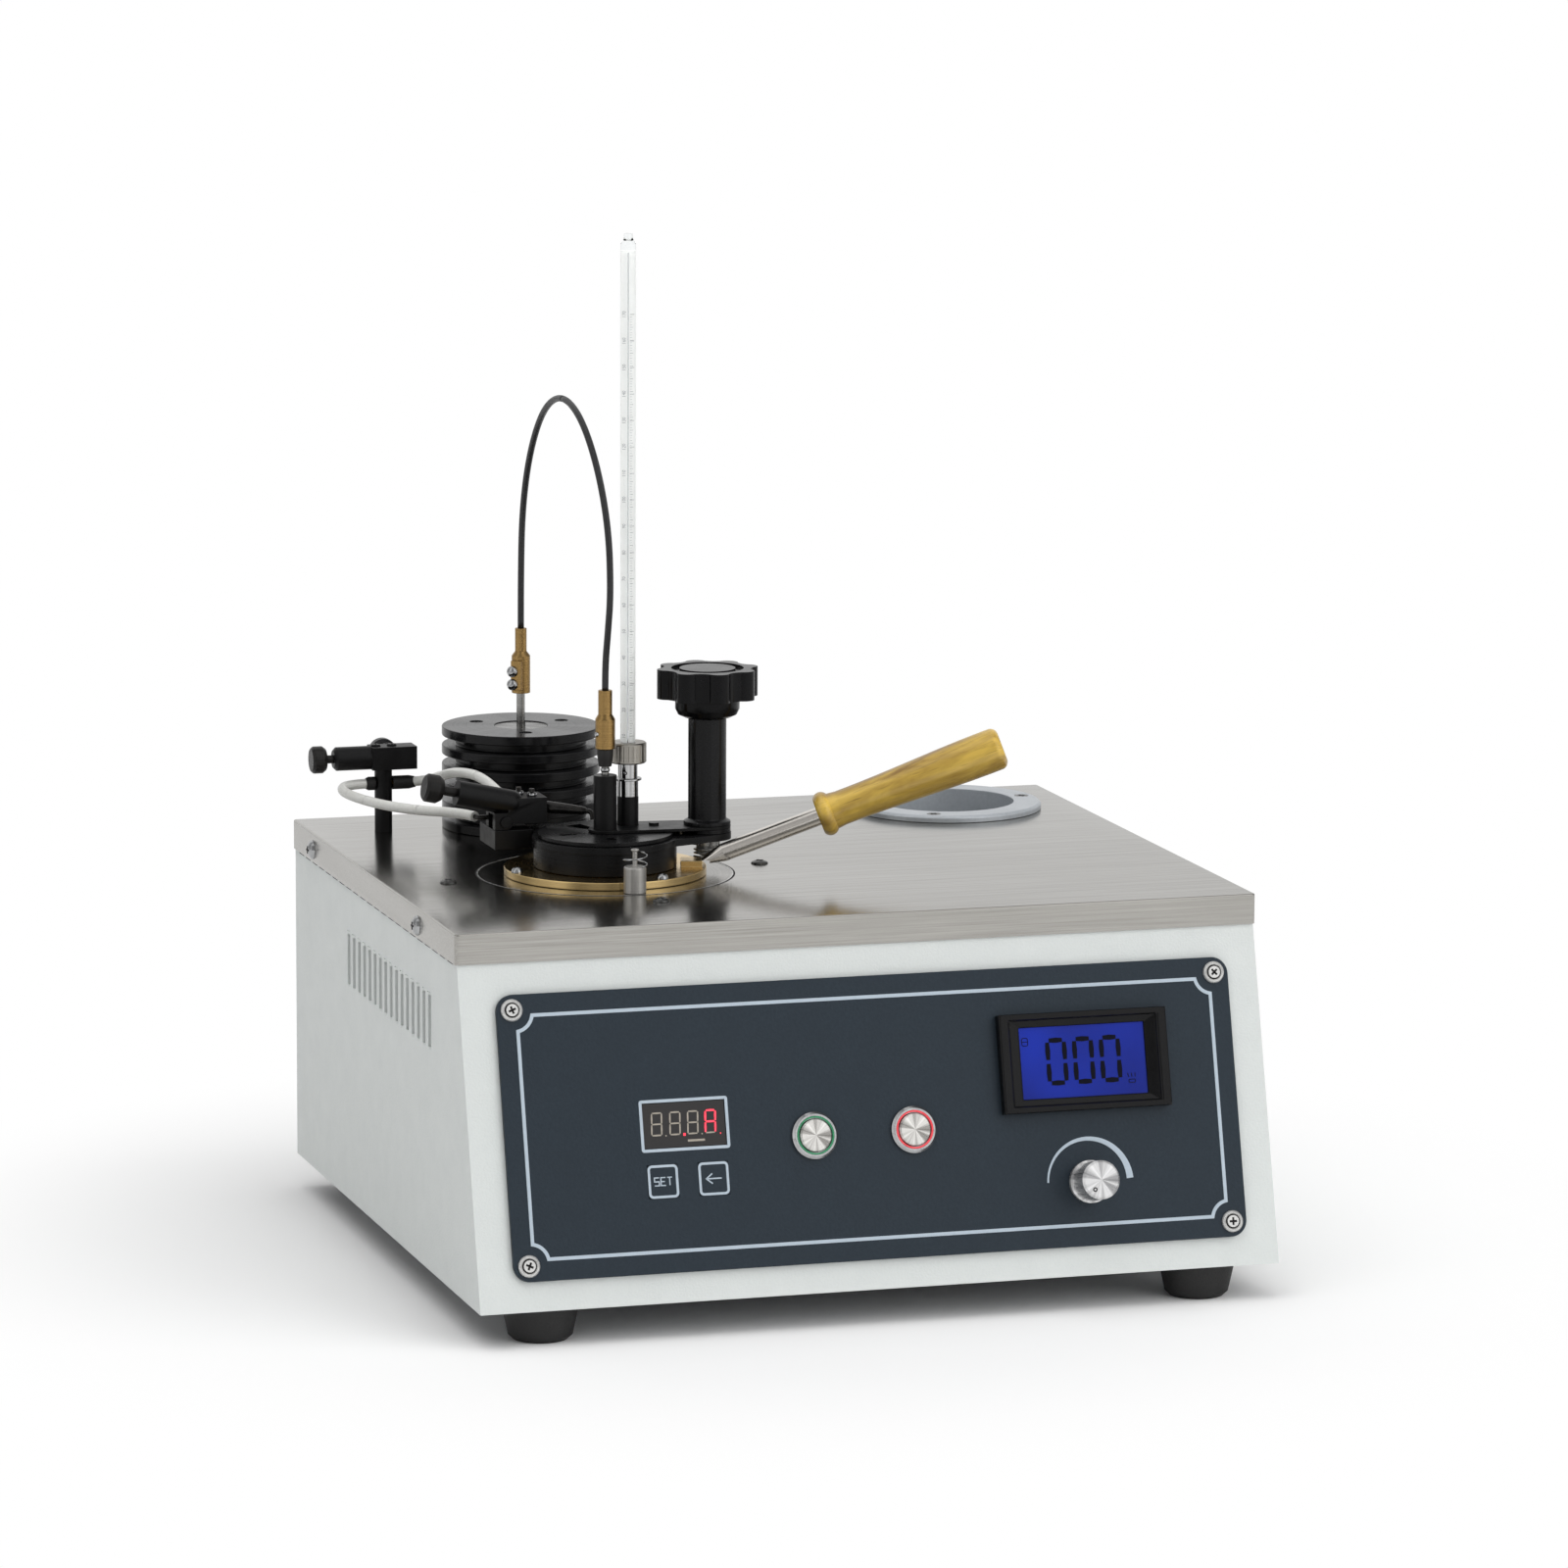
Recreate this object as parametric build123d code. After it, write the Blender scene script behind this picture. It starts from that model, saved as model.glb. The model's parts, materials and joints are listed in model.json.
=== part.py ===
from build123d import *
import os
from math import asin, atan2, cos, degrees, hypot, pi, radians, sin, tan

# Closed-cup flash point tester for the bench. A steel cabinet with a leaning
# control panel carries a heated stove. A brass test cup hangs in the stove, and
# its lid holds a stirrer, a thermometer, a sprung shutter and a tilting burner.
# Millimetres, +Z up, +X to the operator's right, +Y away from the operator.
# The origin is on the bench, in the middle of the whole instrument's outline.

os.makedirs("parts", exist_ok=True)

# ---- driving dimensions ----------------------------------------------------
width = 320.0  # cover, side to side
depth = 264.0  # cover, front to back
body_height = 139.0  # cabinet and cover, without the feet
skirt = 11.8  # turned-down edge of the cover
front_reach = 34.3  # how far the cabinet's bottom stands out in front of the cover
foot_height = 14.0
foot_radius = 15.0
foot_inset = 28.5  # foot centre from the cabinet's side
foot_setback = 17.0  # foot centre behind the front or rear edge
cover_sheet = 0.8
wall = 1.5  # cabinet sheet
running = 0.1  # gap between faces that slide or lift off each other

# control panel: x from the left side, s down the leaning front from the skirt
panel_x, panel_s = 160.5, 66.4
panel_wide, panel_high, panel_thick, panel_corner = 292.2, 108.2, 2.0, 6.5
panel_screw_inset = 5.9
window_x, window_s, window_wide, window_high = 84.6, 64.8, 32.4, 17.3
key_x, key_pitch, key_s, key_wide, key_high, key_travel = 74.7, 19.9, 85.9, 11.9, 12.6, 0.4
start_x, stop_x, button_s = 135.4, 174.9, 72.0
button_radius, barrel_radius, cap_radius, button_travel = 9.05, 7.9, 6.25, 1.8
meter_x, meter_s, meter_wide, meter_high = 244.7, 49.5, 67.8, 38.1
glass_wide, glass_high = 50.4, 27.4
dial_x, dial_s, dial_radius, dial_reach, dial_shaft = 243.9, 96.0, 7.5, 15.0, 3.0

# stove and cup: the centre is measured from the cover's front left corner
stove_x, stove_y = 89.4, 111.0
stove_screw_circle = 64.7
disc_radius, disc_gap, disc_thick = 50.4, 0.5, 1.5
cup_inner, cup_neck_radius, cup_body_radius = 25.4, 27.0, 27.7
cup_deep, cup_floor = 56.0, 2.4
cup_neck = 8.8  # cup rim above its flange
flange_radius, flange_thick = 39.7, 3.0
pocket_radius, stove_radius = 31.0, 38.0
handle_angle, handle_rise = -15.0, 21.0  # round from +X, and up
handle_start, tube_long, tube_radius = 37.0, 49.0, 3.6
grip_long, grip_radius, grip_end_radius, bead_radius = 77.0, 6.9, 8.4, 8.9

# lid
rim_wall, lid_radius, lid_thick = 1.0, 28.7, 2.7
column_x, column_radius, column_high = 41.6, 7.5, 45.6
shaft_radius = 3.0
star_radius, star_lobes, star_high, hub_radius, hub_high = 20.4, 8, 11.6, 12.7, 7.8
crank_radius, crank_pin, crank_thick = 11.0, 1.2, 2.3
knob_swing = 76.0
shutter_radius, shutter_thick = 26.5, 1.6
guide_radius, guide_high, stirrer_radius = 4.6, 24.3, 1.5
collar_x, collar_y, collar_radius, collar_high = 11.2, 7.0, 4.2, 14.3
thermometer_radius, thermometer_dip, thermometer_long = 3.0, 45.0, 283.5
nut_radius, nut_high = 7.3, 8.2

# burner, on the lid's left shoulder
burner_left, burner_right, burner_front, burner_deep = -39.4, -18.3, 19.5, 14.0
base_block_high, base_block_deep, base_block_right = 7.7, 24.0, -24.0
pivot_x, pivot_up, burner_tilt = -35.0, 3.2, 8.0
valve_tilt, valve_radius, valve_long = 12.4, 5.0, 22.5

# stirrer drive and gas fittings behind the cup, measured from the stove's centre
motor_x, motor_y = -3.5, 114.5
motor_radius, motor_core_radius, fin_count, fin_thick, fin_gap = 32.1, 26.5, 6, 3.8, 3.7
motor_shaft_radius = 1.8
post_x, post_y, post_radius, post_high = -60.5, 116.5, 3.55, 25.6
head_high, head_wide, head_deep = 9.2, 18.4, 10.0
barb_z = 19.6
tube_bore, hose_radius, cable_radius = 1.0, 2.0, 1.3

# resting place for a hot cup, right rear of the deck
rest_x, rest_y, rest_radius, rest_bore, rest_deep, rest_lip = 265.5, 221.0, 39.5, 28.2, 46.0, 3.0

# rear fittings
inlet_x, inlet_up, inlet_long, inlet_radius = 60.0, 92.0, 16.0, 3.25
socket_x, socket_up, socket_wide, socket_high = 262.0, 58.0, 30.0, 24.0

# ---- places worked out from them --------------------------------------------
lean = degrees(atan2(front_reach, body_height - skirt))
slope = hypot(front_reach, body_height - skirt)
left, right = -width / 2, width / 2
front_most = dial_s * sin(radians(lean)) + dial_radius * sin(radians(lean))
front_most += (panel_thick + dial_reach) * cos(radians(lean)) - cover_sheet
cover_front = -(depth + inlet_long - front_most) / 2
cover_back = cover_front + depth
deck = foot_height + body_height
skirt_z = deck - skirt
cabinet_top = deck - cover_sheet
cabinet_front = cover_front + cover_sheet
cabinet_back = cover_back - cover_sheet
cabinet_side = width / 2 - cover_sheet
bottom_front = cabinet_front - front_reach
cup_x, cup_y = left + stove_x, cover_front + stove_y
flange_bottom = deck + running
flange_top = flange_bottom + flange_thick
cup_rim = flange_top + cup_neck
lid_under = cup_rim + running
lid_top = lid_under + lid_thick
shutter_under = lid_top + running
shutter_top = shutter_under + shutter_thick
bridge_under = shutter_top + running
bridge_thick = 1.2
column_top = lid_top + column_high
half_swing = radians(knob_swing / 2)
shutter_half = atan2(crank_radius * sin(half_swing), column_x - crank_radius * cos(half_swing))
shutter_swing = 2 * degrees(shutter_half)
motor_at = (cup_x + motor_x, cup_y + motor_y)
post_at = (cup_x + post_x, cup_y + post_y)
rest_at = (left + rest_x, cover_front + rest_y)
lid_spot = Pos(cup_x, cup_y, 0)
panel_plane = Plane(
    origin=(left, cabinet_front, skirt_z),
    x_dir=(1, 0, 0),
    z_dir=(0, -cos(radians(lean)), sin(radians(lean))),
)
UP = (Align.CENTER, Align.CENTER, Align.MIN)


# ---- small building words ---------------------------------------------------
def rod(x, y, low, high, radius):
    return Pos(x, y, low) * Cylinder(radius, high - low, align=UP)


def tube(x, y, low, high, radius, bore):
    return rod(x, y, low, high, radius) - rod(x, y, low - 1, high + 1, bore)


def block(x0, x1, y0, y1, z0, z1):
    centre = Pos((x0 + x1) / 2, (y0 + y1) / 2, (z0 + z1) / 2)
    return centre * Box(x1 - x0, y1 - y0, z1 - z0)


def turned(x, y, *outline):
    """A turned piece on a vertical axis; the outline is (radius, height) pairs."""
    face = make_face(Polyline(*[(r, 0, z) for r, z in outline], close=True))
    return Pos(x, y, 0) * revolve(face, Axis.Z)


def along(x, y, z, direction, shape):
    """A shape made up the Z axis, laid with its foot at a point and its axis along a direction."""
    return Plane(origin=(x, y, z), z_dir=direction).location * shape


def on_panel(x, s, out, shape):
    return panel_plane.location * Pos(x, -s, out) * shape


def round_rod(radius, length):
    return Cylinder(radius, length, align=UP)


def sector(inner, outer, middle, half, low, thick):
    """A slab bounded by two radii and two angles, round the Z axis."""
    a, b = radians(middle - half), radians(middle + half)
    c = radians(middle)
    corners = [(r * cos(t), r * sin(t)) for r, t in ((inner, a), (outer, a), (outer, b), (inner, b))]
    outline = Line(corners[0], corners[1])
    outline += ThreePointArc(corners[1], (outer * cos(c), outer * sin(c)), corners[2])
    outline += Line(corners[2], corners[3])
    outline += ThreePointArc(corners[3], (inner * cos(c), inner * sin(c)), corners[0])
    return Pos(0, 0, low) * extrude(make_face(outline), thick)


def arc_slot(radius, start, end, half_wide, low, thick):
    """A slot with round ends that follows an arc round the Z axis."""
    middle, half = (start + end) / 2, (end - start) / 2
    slot = sector(radius - half_wide, radius + half_wide, middle, half, low, thick)
    for angle in (start, end):
        spot = Pos(radius * cos(radians(angle)), radius * sin(radians(angle)), low)
        slot += spot * round_rod(half_wide, thick)
    return slot


def hose(points, radius, name, per_turn=0):
    """A round cord along straight runs joined by arcs as large as the runs allow."""
    points = [Vector(*p) for p in points]
    radii = []
    for before, here, after in zip(points, points[1:], points[2:]):
        run_in, run_out = here - before, after - here
        half_turn = radians(run_in.get_angle(run_out)) / 2
        radii.append(0.45 * min(run_in.length, run_out.length) / tan(half_turn))
    path = FilletPolyline(*points, radius=radii)
    section = Plane(origin=path @ 0, z_dir=path % 0) * Circle(radius)
    solid = sweep(section, path=path)
    share = solid.volume / (pi * radius**2 * path.length)
    print(name, "length", round(path.length, 1), "radii", [round(r, 1) for r in radii],
          "volume share", round(share, 4))
    if per_turn:
        turns = len(points) / per_turn
        spots = [path @ (i / (40 * turns)) for i in range(int(40 * turns))]
        gaps = [(a - b).length for i, a in enumerate(spots) for b in spots[i + 20:]]
        print(name, "least gap to itself", round(min(gaps) - 2 * radius, 2))
    return solid


def save(node, *shapes):
    solids = [s for shape in shapes for s in shape.solids()]
    kept = solids[0] if len(solids) == 1 else Compound(children=solids)
    export_step(kept, f"parts/{node}.step")


# ---- cabinet ------------------------------------------------------------------
# One folded sheet: sides, back and a front that leans out below the skirt.
side_outline = [
    (cabinet_front, cabinet_top), (cabinet_front, skirt_z), (bottom_front, foot_height),
    (cabinet_back, foot_height), (cabinet_back, cabinet_top),
]


def side_slab(outline, half_width):
    face = make_face(Polyline(*[(0, y, z) for y, z in outline], close=True))
    return extrude(face, half_width, dir=(1, 0, 0), both=True)


inner_front = cabinet_front + wall
lean_step = wall / cos(radians(lean))
inner_outline = [
    (inner_front, deck), (inner_front, skirt_z),
    (bottom_front + lean_step - tan(radians(lean)), foot_height - 1),
    (cabinet_back - wall, foot_height - 1), (cabinet_back - wall, deck),
]
cabinet = side_slab(side_outline, cabinet_side)
cabinet -= side_slab(inner_outline, cabinet_side - wall)
flange_wide = 8.0
rim_low = cabinet_top - wall
cabinet_inner = cabinet_side - wall
top_flange = block(-cabinet_inner, cabinet_inner, inner_front, cabinet_back - wall, rim_low, cabinet_top)
top_flange -= block(-cabinet_inner + flange_wide, cabinet_inner - flange_wide,
                    inner_front + flange_wide, cabinet_back - wall - flange_wide, rim_low, cabinet_top)
ledge_low = foot_height + wall
ledge_front = bottom_front + lean_step + (2 * wall) * tan(radians(lean))
bottom_ledge = block(-cabinet_inner, cabinet_inner, ledge_front, cabinet_back - wall,
                     ledge_low, ledge_low + wall)
bottom_ledge -= block(-cabinet_inner + 2 * flange_wide, cabinet_inner - 2 * flange_wide,
                      ledge_front + 2 * flange_wide, cabinet_back - wall - 2 * flange_wide,
                      ledge_low, ledge_low + wall)
cabinet += top_flange + bottom_ledge

# the hole behind the control panel, with a margin for the panel's screws
hole_margin_x, hole_margin_s = 24.0, 11.0
cabinet -= on_panel(panel_x, panel_s, -2 * wall,
                    Pos(0, 0, 0) * Box(panel_wide - 2 * hole_margin_x, panel_high - 2 * hole_margin_s,
                                       4 * wall, align=UP))

# pressed louvres on both sides: a low hood over a narrow slot
louvre_count, louvre_pitch, louvre_first = 16, 8.63, 42.7
louvre_low, louvre_high, louvre_wide, louvre_out, louvre_slot = 87.0, 22.2, 4.2, 0.8, 1.3
hood_radius = (louvre_wide**2 / 4 + louvre_out**2) / (2 * louvre_out)
for hand in (-1, 1):
    for i in range(louvre_count):
        y = cover_front + louvre_first + i * louvre_pitch
        low = foot_height + louvre_low
        hood = rod(hand * (cabinet_side + louvre_out - hood_radius), y, low, low + louvre_high, hood_radius)
        face_x = sorted((hand * (cabinet_side - wall / 2), hand * (cabinet_side + louvre_out)))
        hood &= block(*face_x, y - louvre_wide / 2, y + louvre_wide / 2, low, low + louvre_high)
        cut_x = sorted((hand * (cabinet_side - 2 * wall), hand * (cabinet_side + 2 * louvre_out)))
        slot = block(*cut_x, y - louvre_wide / 2 - 0.2, y - louvre_wide / 2 + louvre_slot,
                     low + 1, low + louvre_high - 1)
        cabinet = cabinet + hood - slot

# base plate, let in between the walls under the ledge
plate_gap = 0.3
plate_front = bottom_front + lean_step + wall * tan(radians(lean)) + plate_gap
base_plate = block(-cabinet_inner + plate_gap, cabinet_inner - plate_gap, plate_front,
                   cabinet_back - wall - plate_gap, foot_height, ledge_low)

# rubber feet, each with a sunk screw that holds it to the base plate
foot_spots = [(x, y) for x in (left + foot_inset, right - foot_inset)
              for y in (bottom_front + foot_setback, cabinet_back - foot_setback)]
foot_screw_radius, foot_sink = 2.0, 8.0
feet, screws = [], []
for x, y in foot_spots:
    foot = turned(x, y, (0, 0), (foot_radius - 4.5, 0), (foot_radius - 2.6, 1.8),
                  (foot_radius, foot_height), (0, foot_height))
    foot -= rod(x, y, -1, foot_sink, 2.4 * foot_screw_radius)
    foot -= rod(x, y, 0, foot_height + 1, foot_screw_radius + running)
    feet.append(foot)
    screw_hole = rod(x, y, foot_height - 1, ledge_low + 2 * wall, foot_screw_radius + running)
    base_plate -= screw_hole
    cabinet -= screw_hole
    screws.append(turned(x, y, (0, foot_sink - 2.5), (2 * foot_screw_radius, foot_sink - 2.5),
                         (2 * foot_screw_radius, foot_sink), (foot_screw_radius, foot_sink),
                         (foot_screw_radius, ledge_low + 1.5), (0, ledge_low + 1.5)))

# ---- top cover ----------------------------------------------------------------
cover = block(left, right, cover_front, cover_back, skirt_z, deck)
cover = fillet(cover.edges().filter_by(Axis.Z), 1.6)
cover = fillet(cover.faces().sort_by(Axis.Z)[-1].edges(), 0.7)
cover -= block(left + cover_sheet, right - cover_sheet, cover_front + cover_sheet,
               cover_back - cover_sheet, skirt_z - 1, cabinet_top)
cover -= rod(cup_x, cup_y, skirt_z, deck + 1, disc_radius + disc_gap)
cover -= rod(*rest_at, skirt_z, deck + 1, rest_bore + 2.3)
cover -= rod(*post_at, skirt_z, deck + 1, post_radius + running)

# domed screws through the skirt into the cabinet, two on each side and two behind
skirt_screw_z, dome_radius, skirt_screw_radius = deck - 6.8, 4.0, 2.0
skirt_screw_y = (cover_front + 57.5, cover_front + 229.8)
skirt_spots = [(side * width / 2, y, (side, 0, 0)) for side in (-1, 1) for y in skirt_screw_y]
skirt_spots += [(x, cover_back, (0, 1, 0)) for x in (-width / 4, width / 4)]
dome = turned(0, 0, (0, -6), (skirt_screw_radius, -6), (skirt_screw_radius, 0), (dome_radius, 0),
              (dome_radius * 0.86, 1.2), (dome_radius * 0.5, 2.0), (0, 2.3))
for x, y, out in skirt_spots:
    hole = along(x, y, skirt_screw_z, out, Pos(0, 0, -6) * round_rod(skirt_screw_radius + running, 9))
    cover -= hole
    cabinet -= hole
    screws.append(along(x, y, skirt_screw_z, out, dome))

# ---- stove --------------------------------------------------------------------
# Heated casting under the deck: its flange is screwed to the cover from above.
stove_flange_radius, stove_flange_thick = 72.0, 5.0
stove_floor = flange_bottom + cup_neck - cup_deep - cup_floor - 6
pocket_floor = flange_top + cup_neck - cup_deep - cup_floor - 4
seat_z = deck - disc_thick
stove = turned(
    cup_x, cup_y, (0, stove_floor), (stove_radius, stove_floor),
    (stove_radius, cabinet_top - stove_flange_thick),
    (stove_flange_radius, cabinet_top - stove_flange_thick), (stove_flange_radius, cabinet_top),
    (disc_radius + disc_gap, cabinet_top), (disc_radius + disc_gap, seat_z), (pocket_radius, seat_z),
    (pocket_radius, pocket_floor), (0, pocket_floor),
)
stove_screw_spots = []
for quarter in range(4):
    angle = radians(-90 + 90 * quarter + 4)
    stove_screw_spots.append((cup_x + stove_screw_circle * cos(angle), cup_y + stove_screw_circle * sin(angle)))
deck_screw_radius, deck_head_radius = 2.0, 3.5
deck_screws = []
for x, y in stove_screw_spots:
    hole = rod(x, y, cabinet_top - 12, deck + 1, deck_screw_radius + running)
    cover -= hole
    stove -= hole
    deck_screws.append(turned(x, y, (0, cabinet_top - 9), (deck_screw_radius, cabinet_top - 9),
                              (deck_screw_radius, deck), (deck_head_radius, deck),
                              (deck_head_radius - 0.4, deck + 0.7), (deck_head_radius * 0.5, deck + 1.2),
                              (0, deck + 1.3)))
disc_hole = cup_body_radius + 0.6
disc = tube(cup_x, cup_y, seat_z, deck, disc_radius, disc_hole)
jacket_radius, terminal_half, terminal_out, terminal_high = 62.0, 9.0, 9.0, 12.0
heater_thick, heater_low, heater_top = 4.0, stove_floor + 8, cabinet_top - stove_flange_thick - 8
heater = tube(cup_x, cup_y, heater_low, heater_top, stove_radius + heater_thick, stove_radius)
heater += block(cup_x - terminal_half, cup_x + terminal_half, cup_y + stove_radius + heater_thick - 1,
                cup_y + stove_radius + heater_thick + terminal_out, heater_low, heater_low + terminal_high)
jacket = tube(cup_x, cup_y, stove_floor, cabinet_top - stove_flange_thick, jacket_radius,
              stove_radius + heater_thick + 0.4)
jacket -= block(cup_x - terminal_half - 1, cup_x + terminal_half + 1, cup_y,
                cup_y + stove_radius + heater_thick + terminal_out + 2,
                heater_low - 1, heater_low + terminal_high + 1)

# post on the disc that locates the cup's flange, with its spring wire
post_away, post_side, pin_high = flange_radius + 4.9, -0.5, 6.0
locator_x = cup_x + post_side
locator_y = cup_y - (post_away**2 - post_side**2) ** 0.5
locator = turned(locator_x, locator_y, (0, deck), (4.4, deck), (4.4, deck + 9.9), (4.0, deck + 10.4),
                 (0.95, deck + 10.4), (0.95, deck + 10.4 + pin_high), (1.6, deck + 10.4 + pin_high),
                 (1.6, deck + 11.2 + pin_high), (0, deck + 11.2 + pin_high))

# ---- cup ----------------------------------------------------------------------
cup_bottom = cup_rim - cup_deep - cup_floor
cup = turned(
    cup_x, cup_y, (0, cup_bottom), (cup_body_radius - 2, cup_bottom), (cup_body_radius, cup_bottom + 2),
    (cup_body_radius, flange_bottom), (flange_radius, flange_bottom), (flange_radius, flange_top),
    (cup_neck_radius, flange_top), (cup_neck_radius, cup_rim), (cup_inner, cup_rim),
    (cup_inner, cup_bottom + cup_floor), (0, cup_bottom + cup_floor),
)
# brazed lug and the steel tube flattened over it, then the turned grip
lug_long, lug_wide, lug_thick = 8.5, 9.4, 2.4
handle_foot = Pos(cup_x, cup_y, flange_top) * Rot(0, 0, handle_angle)
lug = Pos(handle_start + 1 - lug_long / 2, 0, -1) * Box(lug_long, lug_wide, lug_thick + 1, align=UP)
cup += handle_foot * lug
handle_line = handle_foot * Pos(handle_start + 1, 0, lug_thick / 2 + 0.6) * Rot(0, 90 - handle_rise, 0)
flat_long, flat_half = 9.0, 1.4
flat_end = Rot(0, 0, 90) * Ellipse(lug_wide / 2, flat_half)
tube_end = loft([flat_end, Pos(0, 0, flat_long) * Circle(tube_radius)])
handle_tube = tube_end + Pos(0, 0, flat_long) * round_rod(tube_radius, tube_long - flat_long + 12)
handle_tube = handle_line * handle_tube - handle_foot * Pos(handle_start - 6, 0, 0) * Box(
    20, 2 * lug_wide, lug_thick + running, align=UP)
bead = grip_long * 0.075
grip_outline = Spline(
    (grip_radius, bead * 1.6), (grip_radius + 0.5, grip_long * 0.45),
    (grip_end_radius - 0.1, grip_long * 0.78), (grip_end_radius, grip_long - 3),
)
grip_face = Polyline((tube_radius + running, 0), (bead_radius - 1.6, 0))
grip_face += ThreePointArc((bead_radius - 1.6, 0), (bead_radius, bead / 2), (bead_radius - 1.6, bead))
grip_face += Line((bead_radius - 1.6, bead), (grip_radius, bead * 1.6))
grip_face += grip_outline
grip_face += ThreePointArc((grip_end_radius, grip_long - 3), (grip_end_radius - 0.9, grip_long - 0.9),
                           (grip_end_radius - 3, grip_long))
grip_face += Polyline((grip_end_radius - 3, grip_long), (0, grip_long), (0, 12.2),
                      (tube_radius + running, 12.2), (tube_radius + running, 0))
grip = handle_line * Pos(0, 0, tube_long) * revolve(Plane.XZ * make_face(grip_face), Axis.Z)

# ---- lid ----------------------------------------------------------------------
# Turned rim and plate with three openings, an arm for the operating column, and
# a shoulder for the burner. The shutter turns on it and has the same openings.
openings = [(90.0, 11.0, 9.6, 20.5), (165.0, 6.0, 12.0, 19.0), (240.0, 6.0, 12.0, 19.0)]
arm_radius = column_radius + 2.0
rim_inner = cup_neck_radius + running
lid = rod(0, 0, lid_under, lid_top, lid_radius)
lid += rod(0, 0, flange_top + 0.3, lid_under, rim_inner + rim_wall)
lid -= rod(0, 0, flange_top, lid_under, rim_inner)
arm = make_hull([*Circle(lid_radius - 6).edges(), *(Pos(column_x, 0) * Circle(arm_radius)).edges()])
lid += Pos(0, 0, lid_under) * extrude(arm, lid_thick)
shoulder = block(base_block_right, 0, burner_front - 2, burner_front + 14, lid_under, lid_top)
lid += shoulder - rod(0, 0, lid_under - 1, lid_top + 1, lid_radius - 3)
crank_start = 180 - knob_swing / 2
pin_way = arc_slot(crank_radius, crank_start, 180 + knob_swing / 2, crank_pin + 0.4, lid_under - 1, lid_thick + 2)
lid -= Pos(column_x, 0, 0) * pin_way
lid -= rod(column_x, 0, lid_under - 1, lid_top + 1, shaft_radius + 0.05)
lid -= rod(0, 0, lid_under - 1, lid_top + 1, stirrer_radius + 0.05)
lid -= rod(collar_x, collar_y, lid_under - 1, lid_top + 1, thermometer_radius + 0.4)

shutter = rod(0, 0, shutter_under, shutter_top, shutter_radius)
ear_angle, ear_reach, ear_half = degrees(shutter_half), column_x - 6.0, 5.0
ear = block(shutter_radius - 4, ear_reach, -ear_half, ear_half, shutter_under, shutter_top)
ear = fillet(ear.edges().filter_by(Axis.Z).group_by(Axis.X)[-1], 2.4)
fork_drift = radians(1.0) * (column_x - crank_radius)
fork_half = crank_pin + fork_drift + 0.25
fork_low = column_x - crank_radius - crank_pin - 1.4
shutter += Rot(0, 0, ear_angle) * ear
shutter -= Rot(0, 0, ear_angle) * block(fork_low, ear_reach + 1, -fork_half, fork_half,
                                        shutter_under - 1, shutter_top + 1)
for middle, half, inner, outer in openings:
    lid -= sector(inner, outer, middle, half, lid_under - 1, lid_thick + 2)
    shutter -= sector(inner, outer, middle + shutter_swing, half, shutter_under - 1, shutter_thick + 2)
collar_away, collar_angle = hypot(collar_x, collar_y), degrees(atan2(collar_y, collar_x))
shutter -= arc_slot(collar_away, collar_angle, collar_angle + shutter_swing, collar_radius + 0.35,
                    shutter_under - 1, shutter_thick + 2)
shutter -= rod(0, 0, shutter_under - 1, shutter_top + 1, guide_radius + 0.1)

# guide tubes for the stirrer and the thermometer, and the thermometer's gland
guides = [
    tube(0, 0, lid_top, lid_top + guide_high, guide_radius, stirrer_radius + 0.05),
    tube(collar_x, collar_y, lid_top, lid_top + collar_high, collar_radius, thermometer_radius + 0.4),
]
gland_low = lid_top + collar_high
washer_low, nut_low = gland_low + 6.5, gland_low + 13.4
gland = turned(
    collar_x, collar_y, (thermometer_radius + 0.05, gland_low), (collar_radius - 0.1, gland_low),
    (collar_radius - 0.1, washer_low), (collar_radius + 1.2, washer_low),
    (collar_radius + 1.2, washer_low + 0.8), (collar_radius - 0.4, washer_low + 0.8),
    (collar_radius - 0.4, nut_low + 4), (thermometer_radius + 0.05, nut_low + 4),
)
nut = turned(
    collar_x, collar_y, (collar_radius - 0.35, nut_low), (nut_radius - 0.5, nut_low),
    (nut_radius, nut_low + 0.5), (nut_radius, nut_low + nut_high - 0.5), (nut_radius - 0.5, nut_low + nut_high),
    (thermometer_radius + 0.1, nut_low + nut_high), (thermometer_radius + 0.1, nut_low + 4.2),
    (collar_radius - 0.35, nut_low + 4.2),
)
knurl_count = 24
for i in range(knurl_count):
    angle = 2 * pi * i / knurl_count
    nut -= rod(collar_x + (nut_radius + 0.15) * cos(angle), collar_y + (nut_radius + 0.15) * sin(angle),
               nut_low + 1, nut_low + nut_high - 1, 0.4)
bulb_z = cup_rim - thermometer_dip
thermometer_top = bulb_z + thermometer_long
thermometer = turned(
    collar_x, collar_y, (0, bulb_z), (1.6, bulb_z), (2.4, bulb_z + 1.2), (2.4, bulb_z + 11),
    (thermometer_radius, bulb_z + 13), (thermometer_radius, thermometer_top - 4),
    (thermometer_radius - 1.2, thermometer_top - 2), (thermometer_radius - 1.4, thermometer_top), (0, thermometer_top),
)

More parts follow.
